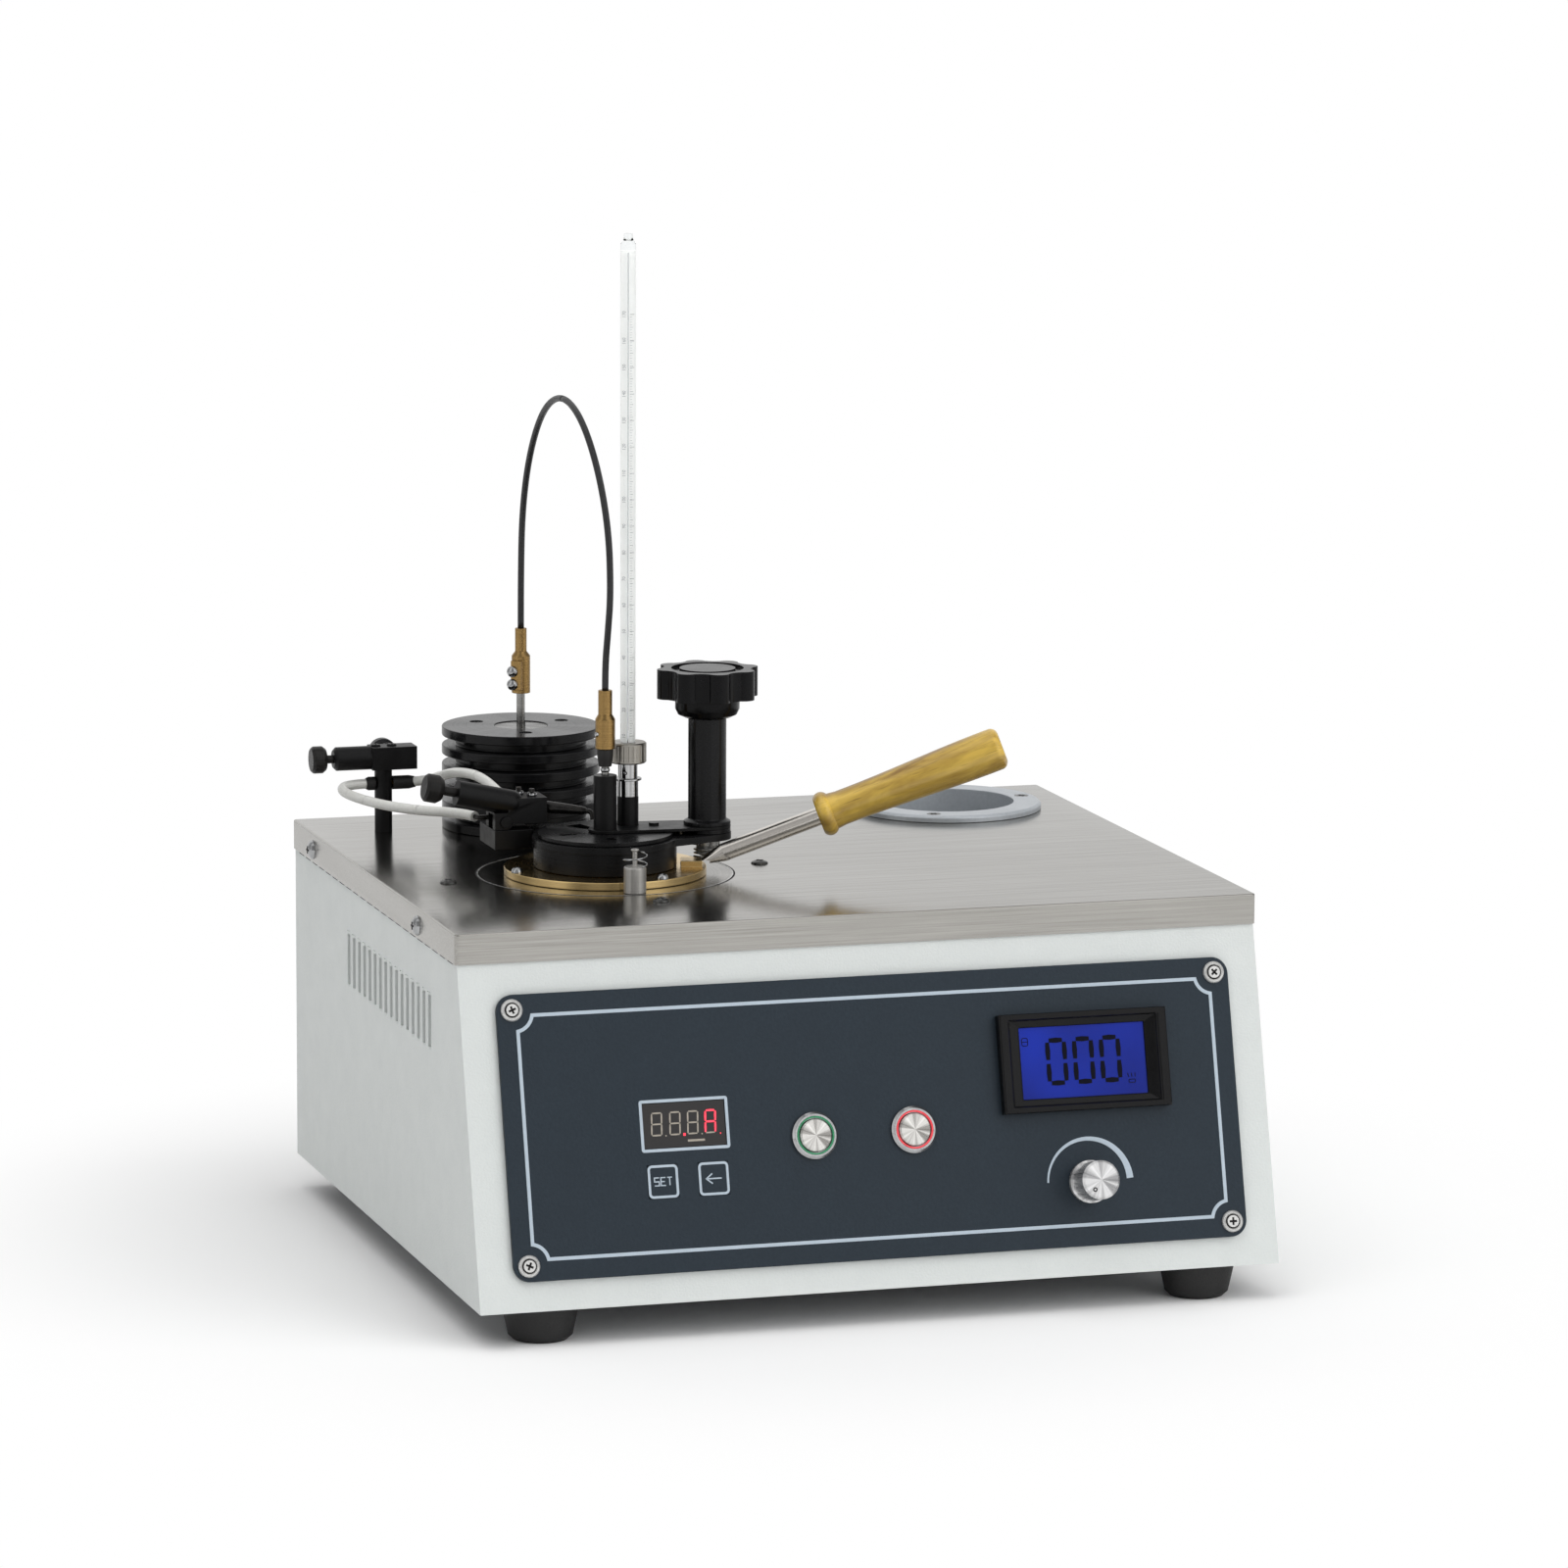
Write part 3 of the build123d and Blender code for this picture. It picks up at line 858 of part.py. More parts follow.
cabinet -= block(sx - socket_wide / 2 + 1, sx + socket_wide / 2 - 1, cabinet_back - 3, cabinet_back + 1,
                 sz - socket_high / 2 + 1, sz + socket_high / 2 - 1)

# ---- write every piece ---------------------------------------------------------------------
save("cabinet_shell", cabinet)
save("base_plate", base_plate)
save("top_cover", cover)
save("cabinet_screws", *screws)
save("rubber_feet", *feet)
save("front_panel", panel)
save("panel_screws", *panel_screws)
save("led_display", display)
save("meter_bezel", bezel)
save("meter_module", module)
save("button_bodies", *bodies)
save("lamp_rings", *rings)
save("power_control", control)
save("motor_housing", housing)
save("stirrer_motor", motor)
save("deck_screws", *deck_screws)
save("flexible_shaft", lid_spot * cable)
save("stove_disc", disc)
save("stove_body", stove)
save("heater_band", heater)
save("insulation_jacket", jacket)
save("locating_post", locator)
save("gas_post", post)
save("gas_head", head)
save("gas_barbs", *barbs, inlet)
save("gas_hoses", *[lid_spot * h for h in hoses])
save("cup_rest", rest)
save("transformer", transformer)
save("control_board", control_board)
save("power_inlet", socket)
save("start_button", caps[0])
save("stop_button", caps[1])
save("set_key", keys[0])
save("shift_key", keys[1])
save("power_dial", dial)
save("motor_drive_shaft", drive)
save("motor_coupling", drive_coupling)
save("front_gas_knob", gas_knobs[0])
save("rear_gas_knob", gas_knobs[1])
save("test_cup", cup)
save("handle_tube", handle_tube)
save("handle_grip", grip)
save("lid_body", lid_spot * lid)
save("guide_tubes", *[lid_spot * g for g in guides])
save("thermometer_gland", lid_spot * gland)
save("lid_bridge", lid_spot * bridge)
save("knob_column", lid_spot * column)
save("burner_base", lid_spot * base_block)
save("shutter_plate", lid_spot * shutter)
save("star_knob", lid_spot * star)
save("knob_shaft", lid_spot * shaft)
save("return_spring", lid_spot * spring)
save("burner_rocker", lid_spot * rocker)
save("burner_nozzles", lid_spot * nozzle, lid_spot * spigot, lid_spot * rear_spigot, *[lid_spot * j for j in jets])
save("burner_valve_knob", lid_spot * valve_knob)
save("stirrer_shaft", lid_spot * stirrer)
save("stirrer_coupling", lid_spot * coupling_parts)
save("coupling_socket", lid_spot * joint_socket)
save("thermometer", lid_spot * thermometer)
save("thermometer_nut", lid_spot * nut)
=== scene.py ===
# Closed-cup flash point tester on a pale bench. Every piece lies in the packed
# frame: metres, +Z up, +X to the operator's right, the origin on the bench.
import json
import math

import bmesh
import bpy
from mathutils import Matrix, Vector

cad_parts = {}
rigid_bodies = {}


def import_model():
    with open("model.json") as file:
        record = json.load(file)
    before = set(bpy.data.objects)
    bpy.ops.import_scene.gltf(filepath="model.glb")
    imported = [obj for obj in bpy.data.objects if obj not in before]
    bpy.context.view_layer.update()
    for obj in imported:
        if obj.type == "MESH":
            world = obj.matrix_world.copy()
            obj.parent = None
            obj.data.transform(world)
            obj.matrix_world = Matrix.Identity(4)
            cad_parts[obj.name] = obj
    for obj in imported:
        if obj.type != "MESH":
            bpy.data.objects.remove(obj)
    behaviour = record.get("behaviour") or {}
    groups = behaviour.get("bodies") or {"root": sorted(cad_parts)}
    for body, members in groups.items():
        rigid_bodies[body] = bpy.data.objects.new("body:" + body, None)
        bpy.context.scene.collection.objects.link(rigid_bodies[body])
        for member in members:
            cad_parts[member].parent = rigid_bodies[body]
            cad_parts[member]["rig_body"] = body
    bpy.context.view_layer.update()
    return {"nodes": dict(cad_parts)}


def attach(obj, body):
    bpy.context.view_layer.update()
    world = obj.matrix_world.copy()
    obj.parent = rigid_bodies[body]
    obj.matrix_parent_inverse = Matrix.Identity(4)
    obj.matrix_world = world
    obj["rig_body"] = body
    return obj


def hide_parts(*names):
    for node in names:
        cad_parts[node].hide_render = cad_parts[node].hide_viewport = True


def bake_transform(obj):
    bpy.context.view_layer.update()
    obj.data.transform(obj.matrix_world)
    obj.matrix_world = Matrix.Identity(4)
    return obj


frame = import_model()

nodes = frame["nodes"]
scene = bpy.context.scene
scene.view_settings.view_transform = "Standard"

# ---- camera, bench and light ---------------------------------------------------
# A long lens looks down on the instrument from its front left. The bench is one
# pale sheet, and two large soft lamps and the room light it evenly.
camera = bpy.data.objects.new("camera", bpy.data.cameras.new("camera"))
scene.collection.objects.link(camera)
scene.camera = camera
camera.data.lens, camera.data.sensor_width = 177.08, 36.0
camera.data.clip_start, camera.data.clip_end = 0.1, 50.0
yaw, down, roll = math.radians(16.92), math.radians(9.57), math.radians(0.246)
camera.matrix_world = (
    Matrix.Translation((-0.87008, -2.87637, 0.69061))
    @ Matrix.Rotation(-yaw, 4, "Z")
    @ Matrix.Rotation(math.pi / 2 - down, 4, "X")
    @ Matrix.Rotation(roll, 4, "Z")
)


def linear(colour):
    """A colour as it looks on a screen, 0 to 255, as the shader wants it."""
    return tuple(((c / 255 + 0.055) / 1.055) ** 2.4 if c > 10 else c / 255 / 12.92 for c in colour) + (1.0,)


def soft_lamp(name, place, aim, size, watts, tint=(1, 1, 1)):
    lamp = bpy.data.objects.new(name, bpy.data.lights.new(name, "AREA"))
    lamp.data.shape, lamp.data.size, lamp.data.energy, lamp.data.color = "DISK", size, watts, tint
    lamp.location = place
    lamp.rotation_euler = (Vector(aim) - Vector(place)).to_track_quat("-Z", "Y").to_euler()
    lamp.visible_glossy = False  # polished faces mirror the room instead, so that none burns out
    scene.collection.objects.link(lamp)


soft_lamp("lamp_right", (2.5, -2.5, 2.2), (0, 0, 0.15), 4.4, 87)
soft_lamp("lamp_above", (-0.5, -0.2, 2.4), (0, 0, 0.1), 2.6, 32)
soft_lamp("lamp_left", (-2.2, -1.0, 1.0), (0, 0, 0.15), 1.2, 1.0)

world = bpy.data.worlds.new("room")
scene.world = world
world.use_nodes = True
sky = world.node_tree
room = sky.nodes["Background"]
room.inputs["Color"].default_value = (1, 1, 1, 1)
seen, mirrored = sky.nodes.new("ShaderNodeBackground"), sky.nodes.new("ShaderNodeBackground")
seen.inputs["Color"].default_value = (1, 1, 1, 1)
path_kind, seen_through = sky.nodes.new("ShaderNodeLightPath"), sky.nodes.new("ShaderNodeMath")
seen_through.operation = "MAXIMUM"
choose, choose_mirrored = sky.nodes.new("ShaderNodeMixShader"), sky.nodes.new("ShaderNodeMixShader")
# polished metal mirrors a room with soft boxes to the left, right and behind, and dark gaps
heading, around, room_walls = (sky.nodes.new("ShaderNode" + kind) for kind in ("TexCoord", "TexGradient", "ValToRGB"))
around.gradient_type = "RADIAL"
# the room is a little darker on the instrument's left
sideways, uneven = sky.nodes.new("ShaderNodeSeparateXYZ"), sky.nodes.new("ShaderNodeMath")
uneven.operation = "MULTIPLY_ADD"
uneven.inputs[1].default_value, uneven.inputs[2].default_value = 0.14, 0.43
walls = room_walls.color_ramp
walls.interpolation = "EASE"
stops = ((0.0, 0.8), (0.06, 1.1), (0.12, 0.3), (0.19, 0.5), (0.24, 0.18), (0.285, 1.15), (0.37, 1.2), (0.45, 0.5),
         (0.57, 0.3), (0.67, 0.8), (0.8, 0.95), (0.9, 0.4), (1.0, 0.8))
while len(walls.elements) < len(stops):
    walls.elements.new(0.5)
for stop, (where, light) in zip(walls.elements, stops):
    stop.position, stop.color = where, (light, light, light, 1)
for out, into in ((heading.outputs["Generated"], around.inputs["Vector"]), (around.outputs["Fac"], room_walls.inputs["Fac"]),
                  (room_walls.outputs["Color"], mirrored.inputs["Color"]),
                  (heading.outputs["Generated"], sideways.inputs[0]), (sideways.outputs["X"], uneven.inputs[0]),
                  (uneven.outputs[0], room.inputs["Strength"]),
                  (path_kind.outputs["Is Camera Ray"], seen_through.inputs[0]),
                  (path_kind.outputs["Is Transmission Ray"], seen_through.inputs[1]),
                  (seen_through.outputs[0], choose.inputs["Fac"]), (room.outputs[0], choose_mirrored.inputs[1]),
                  (path_kind.outputs["Is Glossy Ray"], choose_mirrored.inputs["Fac"]),
                  (mirrored.outputs[0], choose_mirrored.inputs[2]), (choose_mirrored.outputs[0], choose.inputs[1]),
                  (seen.outputs[0], choose.inputs[2]), (choose.outputs[0], sky.nodes["World Output"].inputs["Surface"])):
    sky.links.new(out, into)

bench_mesh = bpy.data.meshes.new("bench")
reach = 6.0
bench_mesh.from_pydata([(-reach, -reach, 0), (reach, -reach, 0), (reach, reach, 0), (-reach, reach, 0)], [],
                       [(0, 1, 2, 3)])
bench = bpy.data.objects.new("bench", bench_mesh)
scene.collection.objects.link(bench)
bench_finish = bpy.data.materials.new("pale_bench")
bench_finish.use_nodes = True
top = bench_finish.node_tree
bench_shader = top.nodes["Principled BSDF"]
bench_shader.inputs["Base Color"].default_value = (0.93, 0.93, 0.93, 1)
bench_shader.inputs["Roughness"].default_value = 0.85
# away from the instrument the bench turns into the plain white of the room
white = top.nodes.new("ShaderNodeEmission")
spot, away, fade = (top.nodes.new("ShaderNode" + kind) for kind in ("TexCoord", "VectorMath", "MapRange"))
away.operation = "LENGTH"
fade.interpolation_type = "SMOOTHSTEP"
fade.inputs["From Min"].default_value, fade.inputs["From Max"].default_value = 0.2, 0.39
ray, seen_any, seen_there = (top.nodes.new("ShaderNode" + kind) for kind in ("LightPath", "Math", "Math"))
seen_any.operation = "MAXIMUM"
seen_there.operation = "MULTIPLY"
blend = top.nodes.new("ShaderNodeMixShader")
for out, into in ((spot.outputs["Object"], away.inputs[0]), (away.outputs["Value"], fade.inputs["Value"]),
                  (ray.outputs["Is Camera Ray"], seen_any.inputs[0]), (ray.outputs["Is Transmission Ray"], seen_any.inputs[1]),
                  (seen_any.outputs[0], seen_there.inputs[0]), (fade.outputs[0], seen_there.inputs[1]),
                  (seen_there.outputs[0], blend.inputs["Fac"]), (bench_shader.outputs[0], blend.inputs[1]),
                  (white.outputs[0], blend.inputs[2]), (blend.outputs[0], top.nodes["Material Output"].inputs["Surface"])):
    top.links.new(out, into)
bench_mesh.materials.append(bench_finish)

# ---- flexible drive shaft --------------------------------------------------------
# A steel wire core in a black sleeve carries the motor's turn over to the stirrer.
# One smooth line from coupling to coupling, in two pieces that meet at its highest point.


def new_finish(name, colour, rough, **sockets):
    """A material and its shader; a socket's name is the shader's, with _ for a space."""
    finish = bpy.data.materials.new(name)
    finish.use_nodes = True
    shader = finish.node_tree.nodes["Principled BSDF"]
    shader.inputs["Base Color"].default_value = linear(colour)
    shader.inputs["Roughness"].default_value = rough
    for socket, value in sockets.items():
        shader.inputs[socket.replace("_", " ")].default_value = value
    return finish, shader


def add(tree, kind, **settings):
    """A shader node; a capital letter starts a socket's name and a small one a setting's."""
    node = tree.nodes.new("ShaderNode" + kind)
    for key, value in settings.items():
        if key[0].islower():
            setattr(node, key, value)
        else:
            node.inputs[key.replace("_", " ")].default_value = value
    return node


def wire(tree, *pairs):
    for out, into in pairs:
        tree.links.new(out, into)


def group_of(name, inputs, outputs):
    """An empty node group with named sockets, and its two ends."""
    group = bpy.data.node_groups.new(name, "ShaderNodeTree")
    for socket, kind, value in inputs:
        made = group.interface.new_socket(name=socket, in_out="INPUT", socket_type="NodeSocket" + kind)
        made.default_value = value
    for socket, kind in outputs:
        group.interface.new_socket(name=socket, in_out="OUTPUT", socket_type="NodeSocket" + kind)
    return group, group.nodes.new("NodeGroupInput"), group.nodes.new("NodeGroupOutput")


def use(finish, shader, group, links, depth=0.0002, **values):
    """Places a group in a material; links name an output of the group and a socket of the shader."""
    tree = finish.node_tree
    placed = tree.nodes.new("ShaderNodeGroup")
    placed.node_tree = group
    for socket, value in values.items():
        placed.inputs[socket.replace("_", " ")].default_value = value
    for out, into in links:
        if into == "Bump":
            bump = add(tree, "Bump", Strength=0.5, Distance=depth)
            wire(tree, (placed.outputs[out], bump.inputs["Height"]), (bump.outputs[0], shader.inputs["Normal"]))
        else:
            wire(tree, (placed.outputs[out], shader.inputs[into]))
    return placed


# uneven colour and gloss from handling, coarse and fine, on the piece's own place
handled, ends_in, ends_out = group_of(
    "handled_surface",
    [("Colour", "Color", (0.5, 0.5, 0.5, 1)), ("Worn Colour", "Color", (0.6, 0.6, 0.6, 1)),
     ("Amount", "Float", 0.2), ("Scale", "Float", 30.0), ("Rough", "Float", 0.4), ("Spread", "Float", 0.15)],
    [("Colour", "Color"), ("Roughness", "Float"), ("Height", "Float")])
place = add(handled, "TexCoord")
coarse = add(handled, "TexNoise", Detail=4.0, Roughness=0.55)
fine_scale = add(handled, "Math", operation="MULTIPLY")
fine_scale.inputs[1].default_value = 11.0
fine = add(handled, "TexNoise", Detail=2.0)
both = add(handled, "Math", operation="MULTIPLY")
strength = add(handled, "Math", operation="MULTIPLY")
mixed = add(handled, "Mix", data_type="RGBA")
centred = add(handled, "Math", operation="SUBTRACT")
centred.inputs[1].default_value = 0.5
spread = add(handled, "Math", operation="MULTIPLY_ADD")
wire(handled, (place.outputs["Object"], coarse.inputs["Vector"]), (place.outputs["Object"], fine.inputs["Vector"]),
     (ends_in.outputs["Scale"], coarse.inputs["Scale"]), (ends_in.outputs["Scale"], fine_scale.inputs[0]),
     (fine_scale.outputs[0], fine.inputs["Scale"]), (coarse.outputs["Fac"], both.inputs[0]),
     (fine.outputs["Fac"], both.inputs[1]), (both.outputs[0], strength.inputs[0]),
     (ends_in.outputs["Amount"], strength.inputs[1]), (strength.outputs[0], mixed.inputs["Factor"]),
     (ends_in.outputs["Colour"], mixed.inputs["A"]), (ends_in.outputs["Worn Colour"], mixed.inputs["B"]),
     (mixed.outputs["Result"], ends_out.inputs["Colour"]), (coarse.outputs["Fac"], centred.inputs[0]),
     (centred.outputs[0], spread.inputs[0]), (ends_in.outputs["Spread"], spread.inputs[1]),
     (ends_in.outputs["Rough"], spread.inputs[2]), (spread.outputs[0], ends_out.inputs["Roughness"]),
     (fine.outputs["Fac"], ends_out.inputs["Height"]))


def smooth_line(points):
    """Points close together along the smooth spline that has these control points."""
    curve = bpy.data.curves.new("route", "CURVE")
    curve.dimensions, curve.resolution_u = "3D", 12
    spline = curve.splines.new("NURBS")
    spline.points.add(len(points) - 1)
    for point, place in zip(spline.points, points):
        point.co = (*place, 1.0)
    spline.order_u, spline.use_endpoint_u = 3, True
    holder = bpy.data.objects.new("route", curve)
    scene.collection.objects.link(holder)
    bpy.context.view_layer.update()
    line = bpy.data.meshes.new_from_object(holder.evaluated_get(bpy.context.evaluated_depsgraph_get()))
    route = [v.co.copy() for v in line.vertices]
    bpy.data.objects.remove(holder)
    bpy.data.curves.remove(curve)
    bpy.data.meshes.remove(line)
    return route


def tube_mesh(name, route, radius, sides=20, bore=0.0):
    """A round tube along a route, closed at both ends, with its length and its turn as its UV map."""
    mesh = bpy.data.meshes.new(name)
    made = bmesh.new()
    layer = made.loops.layers.uv.new("along")
    side = Vector((1, 0, 0))
    rings, run = [], 0.0
    for i, spot in enumerate(route):
        ahead = (route[min(i + 1, len(route) - 1)] - route[max(i - 1, 0)]).normalized()
        side = (side - ahead * side.dot(ahead)).normalized()
        other = ahead.cross(side)
        if i:
            run += (spot - route[i - 1]).length
        ring = []
        for k in range(sides):
            turn = 2 * math.pi * k / sides
            ring.append(made.verts.new(spot + radius * (math.cos(turn) * side + math.sin(turn) * other)))
        rings.append((ring, run))
    for (low, at), (high, past) in zip(rings, rings[1:]):
        for k in range(sides):
            face = made.faces.new((low[k], low[(k + 1) % sides], high[(k + 1) % sides], high[k]))
            face.smooth = True
            for loop, uv in zip(face.loops, ((k, at), (k + 1, at), (k + 1, past), (k, past))):
                loop[layer].uv = (uv[0] / sides, uv[1] / (2 * math.pi * radius))
    for ring, inward in ((rings[0][0], -1), (rings[-1][0], 1)):
        made.faces.new(ring[::inward])
    made.to_mesh(mesh)
    made.free()
    return mesh


def piece(name, mesh, *finishes):
    thing = bpy.data.objects.new(name, mesh)
    scene.collection.objects.link(thing)
    for finish in finishes:
        mesh.materials.append(finish)
    return thing


def ridden(thing, body, stands_for=()):
    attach(thing, body)
    if stands_for:
        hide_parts(*stands_for)
    return thing


sleeve, sleeve_shader = new_finish("shaft_sleeve", (22, 22, 24), 0.42)
use(sleeve, sleeve_shader, handled, [("Colour", "Base Color"), ("Roughness", "Roughness"), ("Height", "Bump")],
    Colour=linear((20, 20, 22)), Worn_Colour=linear((58, 58, 60)), Amount=0.5, Scale=90.0, Rough=0.4, Spread=0.3)

cup_x, cup_y, deck = -0.0706, -0.00772, 0.153
shaft_radius = 0.0013
drive_end = deck + 0.0809
shaft_points = [
    (-3.5, 114.5, 0), (-3.5, 114.5, 20), (-3.3, 112.8, 49), (-3.0, 101.7, 74), (-2.6, 82.0, 93.5),
    (-2.0, 57.0, 101.5), (-1.4, 31.0, 96), (-0.8, 8.0, 78.5), (-0.4, -6.5, 55.5), (-0.2, -8.7, 31),
    (0, -4.0, 15.1), (0, 0, 1.7), (0, 0, -8.3),
]
drive_points = [Vector((cup_x + x / 1000, cup_y + y / 1000, drive_end + z / 1000)) for x, y, z in shaft_points]
drive_line = smooth_line(drive_points)
crown = max(range(len(drive_line)), key=lambda i: drive_line[i].z)


def run_length(route):
    return sum((b - a).length for a, b in zip(route, route[1:]))


def laid_cord(name, route, radius, finish, cad_node, sides=20):
    """One stretch of a cord: a tube along its route, baked in place, standing in for the hidden CAD node."""
    stretch = piece(name, tube_mesh(name, route, radius, sides), finish)
    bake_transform(stretch)
    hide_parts(cad_node)
    return stretch


laid_cord("drive_shaft_rise", drive_line[:crown + 1], shaft_radius, sleeve,
          "flexible_shaft")
laid_cord("drive_shaft_fall", drive_line[crown:], shaft_radius, sleeve,
          "flexible_shaft")

# ---- gas hoses ---------------------------------------------------------------------
# Two limp white silicone hoses bring gas from the post to the burner. Each is
# pushed over a barb at both ends, and is laid in three stretches.
silicone, silicone_shader = new_finish("white_silicone", (224, 224, 220), 0.38, Coat_Weight=0.3)
use(silicone, silicone_shader, handled, [("Colour", "Base Color"), ("Roughness", "Roughness")],
    Colour=linear((222, 222, 218)), Worn_Colour=linear((176, 176, 170)), Amount=0.9, Scale=70.0, Rough=0.36,
    Spread=0.2)
hose_radius = 0.002
hose_routes = {
    "front_hose": [(-65.45, 116.5, 19.6), (-74.95, 116.5, 19.6), (-79.8, 111.0, 18.6), (-77.0, 101.5, 17.2),
                   (-69.5, 82.0, 16.6), (-60.0, 61.5, 17.4), (-47.42, 44.26, 18.8), (-43.82, 33.87, 18.8)],
    "rear_hose": [(-55.55, 116.5, 19.6), (-46.05, 116.5, 19.6), (-41.2, 111.9, 21.2), (-40.4, 100.0, 24.4),
                  (-38.6, 81.0, 29.0), (-34.2, 61.0, 30.2), (-29.3, 45.0, 24.2), (-29.3, 34.5, 24.2)],
}
for name, points in hose_routes.items():
    line = smooth_line([Vector((cup_x + x / 1000, cup_y + y / 1000, deck + z / 1000)) for x, y, z in points])
    whole, run, cuts = run_length(line), 0.0, [0]
    for i in range(1, len(line)):
        run += (line[i] - line[i - 1]).length
        if len(cuts) < 3 and run > whole * 0.335 * len(cuts):
            cuts.append(i)
    cuts.append(len(line) - 1)
    for part, (first, last), bodies in zip(("a", "b", "c"), zip(cuts, cuts[1:]),
                                           (("base", "cup"), ("cup", "lid"), ("lid", "burner"))):
        laid_cord(name + "_" + part, line[first:last + 1], hose_radius, silicone, "gas_hoses",
                  24)


def dressed(finish, *names):
    """CAD pieces that stay as they are, in a better finish."""
    for name in names:
        for holder in nodes[name].material_slots:
            holder.material = finish


def rounded(edge, finish, *names, angle=32, segments=2):
    """CAD pieces whose sharp edges are broken by a small radius."""
    for name in names:
        mesh = nodes[name].data.copy()
        mesh.name = name + "_edges"
        mesh.materials.clear()
        if "custom_normal" in mesh.attributes:
            mesh.attributes.remove(mesh.attributes["custom_normal"])
        shape = bmesh.new()
        shape.from_mesh(mesh)
        bmesh.ops.remove_doubles(shape, verts=shape.verts, dist=2e-6)
        bmesh.ops.dissolve_limit(shape, angle_limit=math.radians(0.6), verts=shape.verts, edges=shape.edges)
        for side in shape.faces:
            side.smooth = True
        for rim in shape.edges:
            rim.smooth = len(rim.link_faces) == 2 and rim.calc_face_angle(0) < math.radians(28)
        shape.to_mesh(mesh)
        shape.free()
        thing = piece(name + "_rounded", mesh, finish)
        bevel = thing.modifiers.new("broken_edges", "BEVEL")
        bevel.width, bevel.segments, bevel.limit_method = edge, segments, "ANGLE"
        bevel.angle_limit, bevel.harden_normals = math.radians(angle), True
        ridden(thing, nodes[name]["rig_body"], [name])


paint, paint_shader = new_finish("cabinet_paint", (214, 218, 216), 0.42, Specular_IOR_Level=0.45)
use(paint, paint_shader, handled, [("Colour", "Base Color"), ("Roughness", "Roughness"), ("Height", "Bump")],
    Colour=linear((217, 221, 219)), Worn_Colour=linear((198, 203, 203)), Amount=0.7, Scale=110.0, Rough=0.42,
    Spread=0.2)
rounded(0.0006, paint, "cabinet_shell")

# base plate: bare zinc-plated sheet, seen only from below
zinc, zinc_shader = new_finish("zinc_plate", (150, 152, 154), 0.5, Metallic=0.85)
use(zinc, zinc_shader, handled, [("Colour", "Base Color"), ("Roughness", "Roughness")],
    Colour=linear((164, 166, 168)), Worn_Colour=linear((112, 116, 120)), Amount=1.4, Scale=38.0, Rough=0.42,
    Spread=0.3)
dressed(zinc, "base_plate", "heater_band")

# rubber feet: moulded black rubber, a little dusty
rubber, rubber_shader = new_finish("black_rubber", (18, 18, 19), 0.7)
use(rubber, rubber_shader, handled, [("Colour", "Base Color"), ("Roughness", "Roughness"), ("Height", "Bump")],
    Colour=linear((14, 14, 15)), Worn_Colour=linear((52, 51, 50)), Amount=0.7, Scale=120.0, Rough=0.66, Spread=0.2)
dressed(rubber, "rubber_feet")

# ---- top cover -----------------------------------------------------------------------
# A stainless sheet with a turned-down skirt, brushed along the cabinet's width. It
# sits over the box and is held through the skirt by domed screws.
brushed, ends_in, ends_out = group_of(
    "brushed_lines",
    [("Colour", "Color", (0.5, 0.5, 0.5, 1)), ("Dark Colour", "Color", (0.3, 0.3, 0.3, 1)),
     ("Amount", "Float", 0.5), ("Stretch", "Vector", (12, 900, 900)), ("Rough", "Float", 0.3),
     ("Spread", "Float", 0.2), ("Cloud", "Float", 7.0)],
    [("Colour", "Color"), ("Roughness", "Float"), ("Height", "Float")])
place = add(brushed, "TexCoord")
pulled = add(brushed, "Mapping")
grain = add(brushed, "TexNoise", Scale=1.0, Detail=5.0, Roughness=0.65)
# large soft patches of tone; on the cover they are painted reflection
cloud_tone_and_sheen = add(brushed, "TexNoise", Detail=3.0, Roughness=0.5)
sharper = add(brushed, "MapRange")
sharper.inputs["From Min"].default_value, sharper.inputs["From Max"].default_value = 0.32, 0.68
shared = add(brushed, "Mix", data_type="FLOAT")
shared.inputs["Factor"].default_value = 0.4
amount = add(brushed, "Math", operation="MULTIPLY")
shade = add(brushed, "Mix", data_type="RGBA")
level = add(brushed, "Math", operation="SUBTRACT")
level.inputs[1].default_value = 0.5
rough = add(brushed, "Math", operation="MULTIPLY_ADD")
wire(brushed, (place.outputs["Object"], pulled.inputs["Vector"]), (ends_in.outputs["Stretch"], pulled.inputs["Scale"]),
     (pulled.outputs[0], grain.inputs["Vector"]), (place.outputs["Object"], cloud_tone_and_sheen.inputs["Vector"]),
     (ends_in.outputs["Cloud"], cloud_tone_and_sheen.inputs["Scale"]), (grain.outputs["Fac"], sharper.inputs["Value"]),
     (sharper.outputs[0], shared.inputs["A"]), (cloud_tone_and_sheen.outputs["Fac"], shared.inputs["B"]),
     (shared.outputs["Result"], amount.inputs[0]), (ends_in.outputs["Amount"], amount.inputs[1]),
     (amount.outputs[0], shade.inputs["Factor"]), (ends_in.outputs["Colour"], shade.inputs["A"]),
     (ends_in.outputs["Dark Colour"], shade.inputs["B"]), (shade.outputs["Result"], ends_out.inputs["Colour"]),
     (shared.outputs["Result"], level.inputs[0]), (level.outputs[0], rough.inputs[0]),
     (ends_in.outputs["Spread"], rough.inputs[1]), (ends_in.outputs["Rough"], rough.inputs[2]),
     (rough.outputs[0], ends_out.inputs["Roughness"]), (sharper.outputs[0], ends_out.inputs["Height"]))
full_links = [("Colour", "Base Color"), ("Roughness", "Roughness"), ("Height", "Bump")]
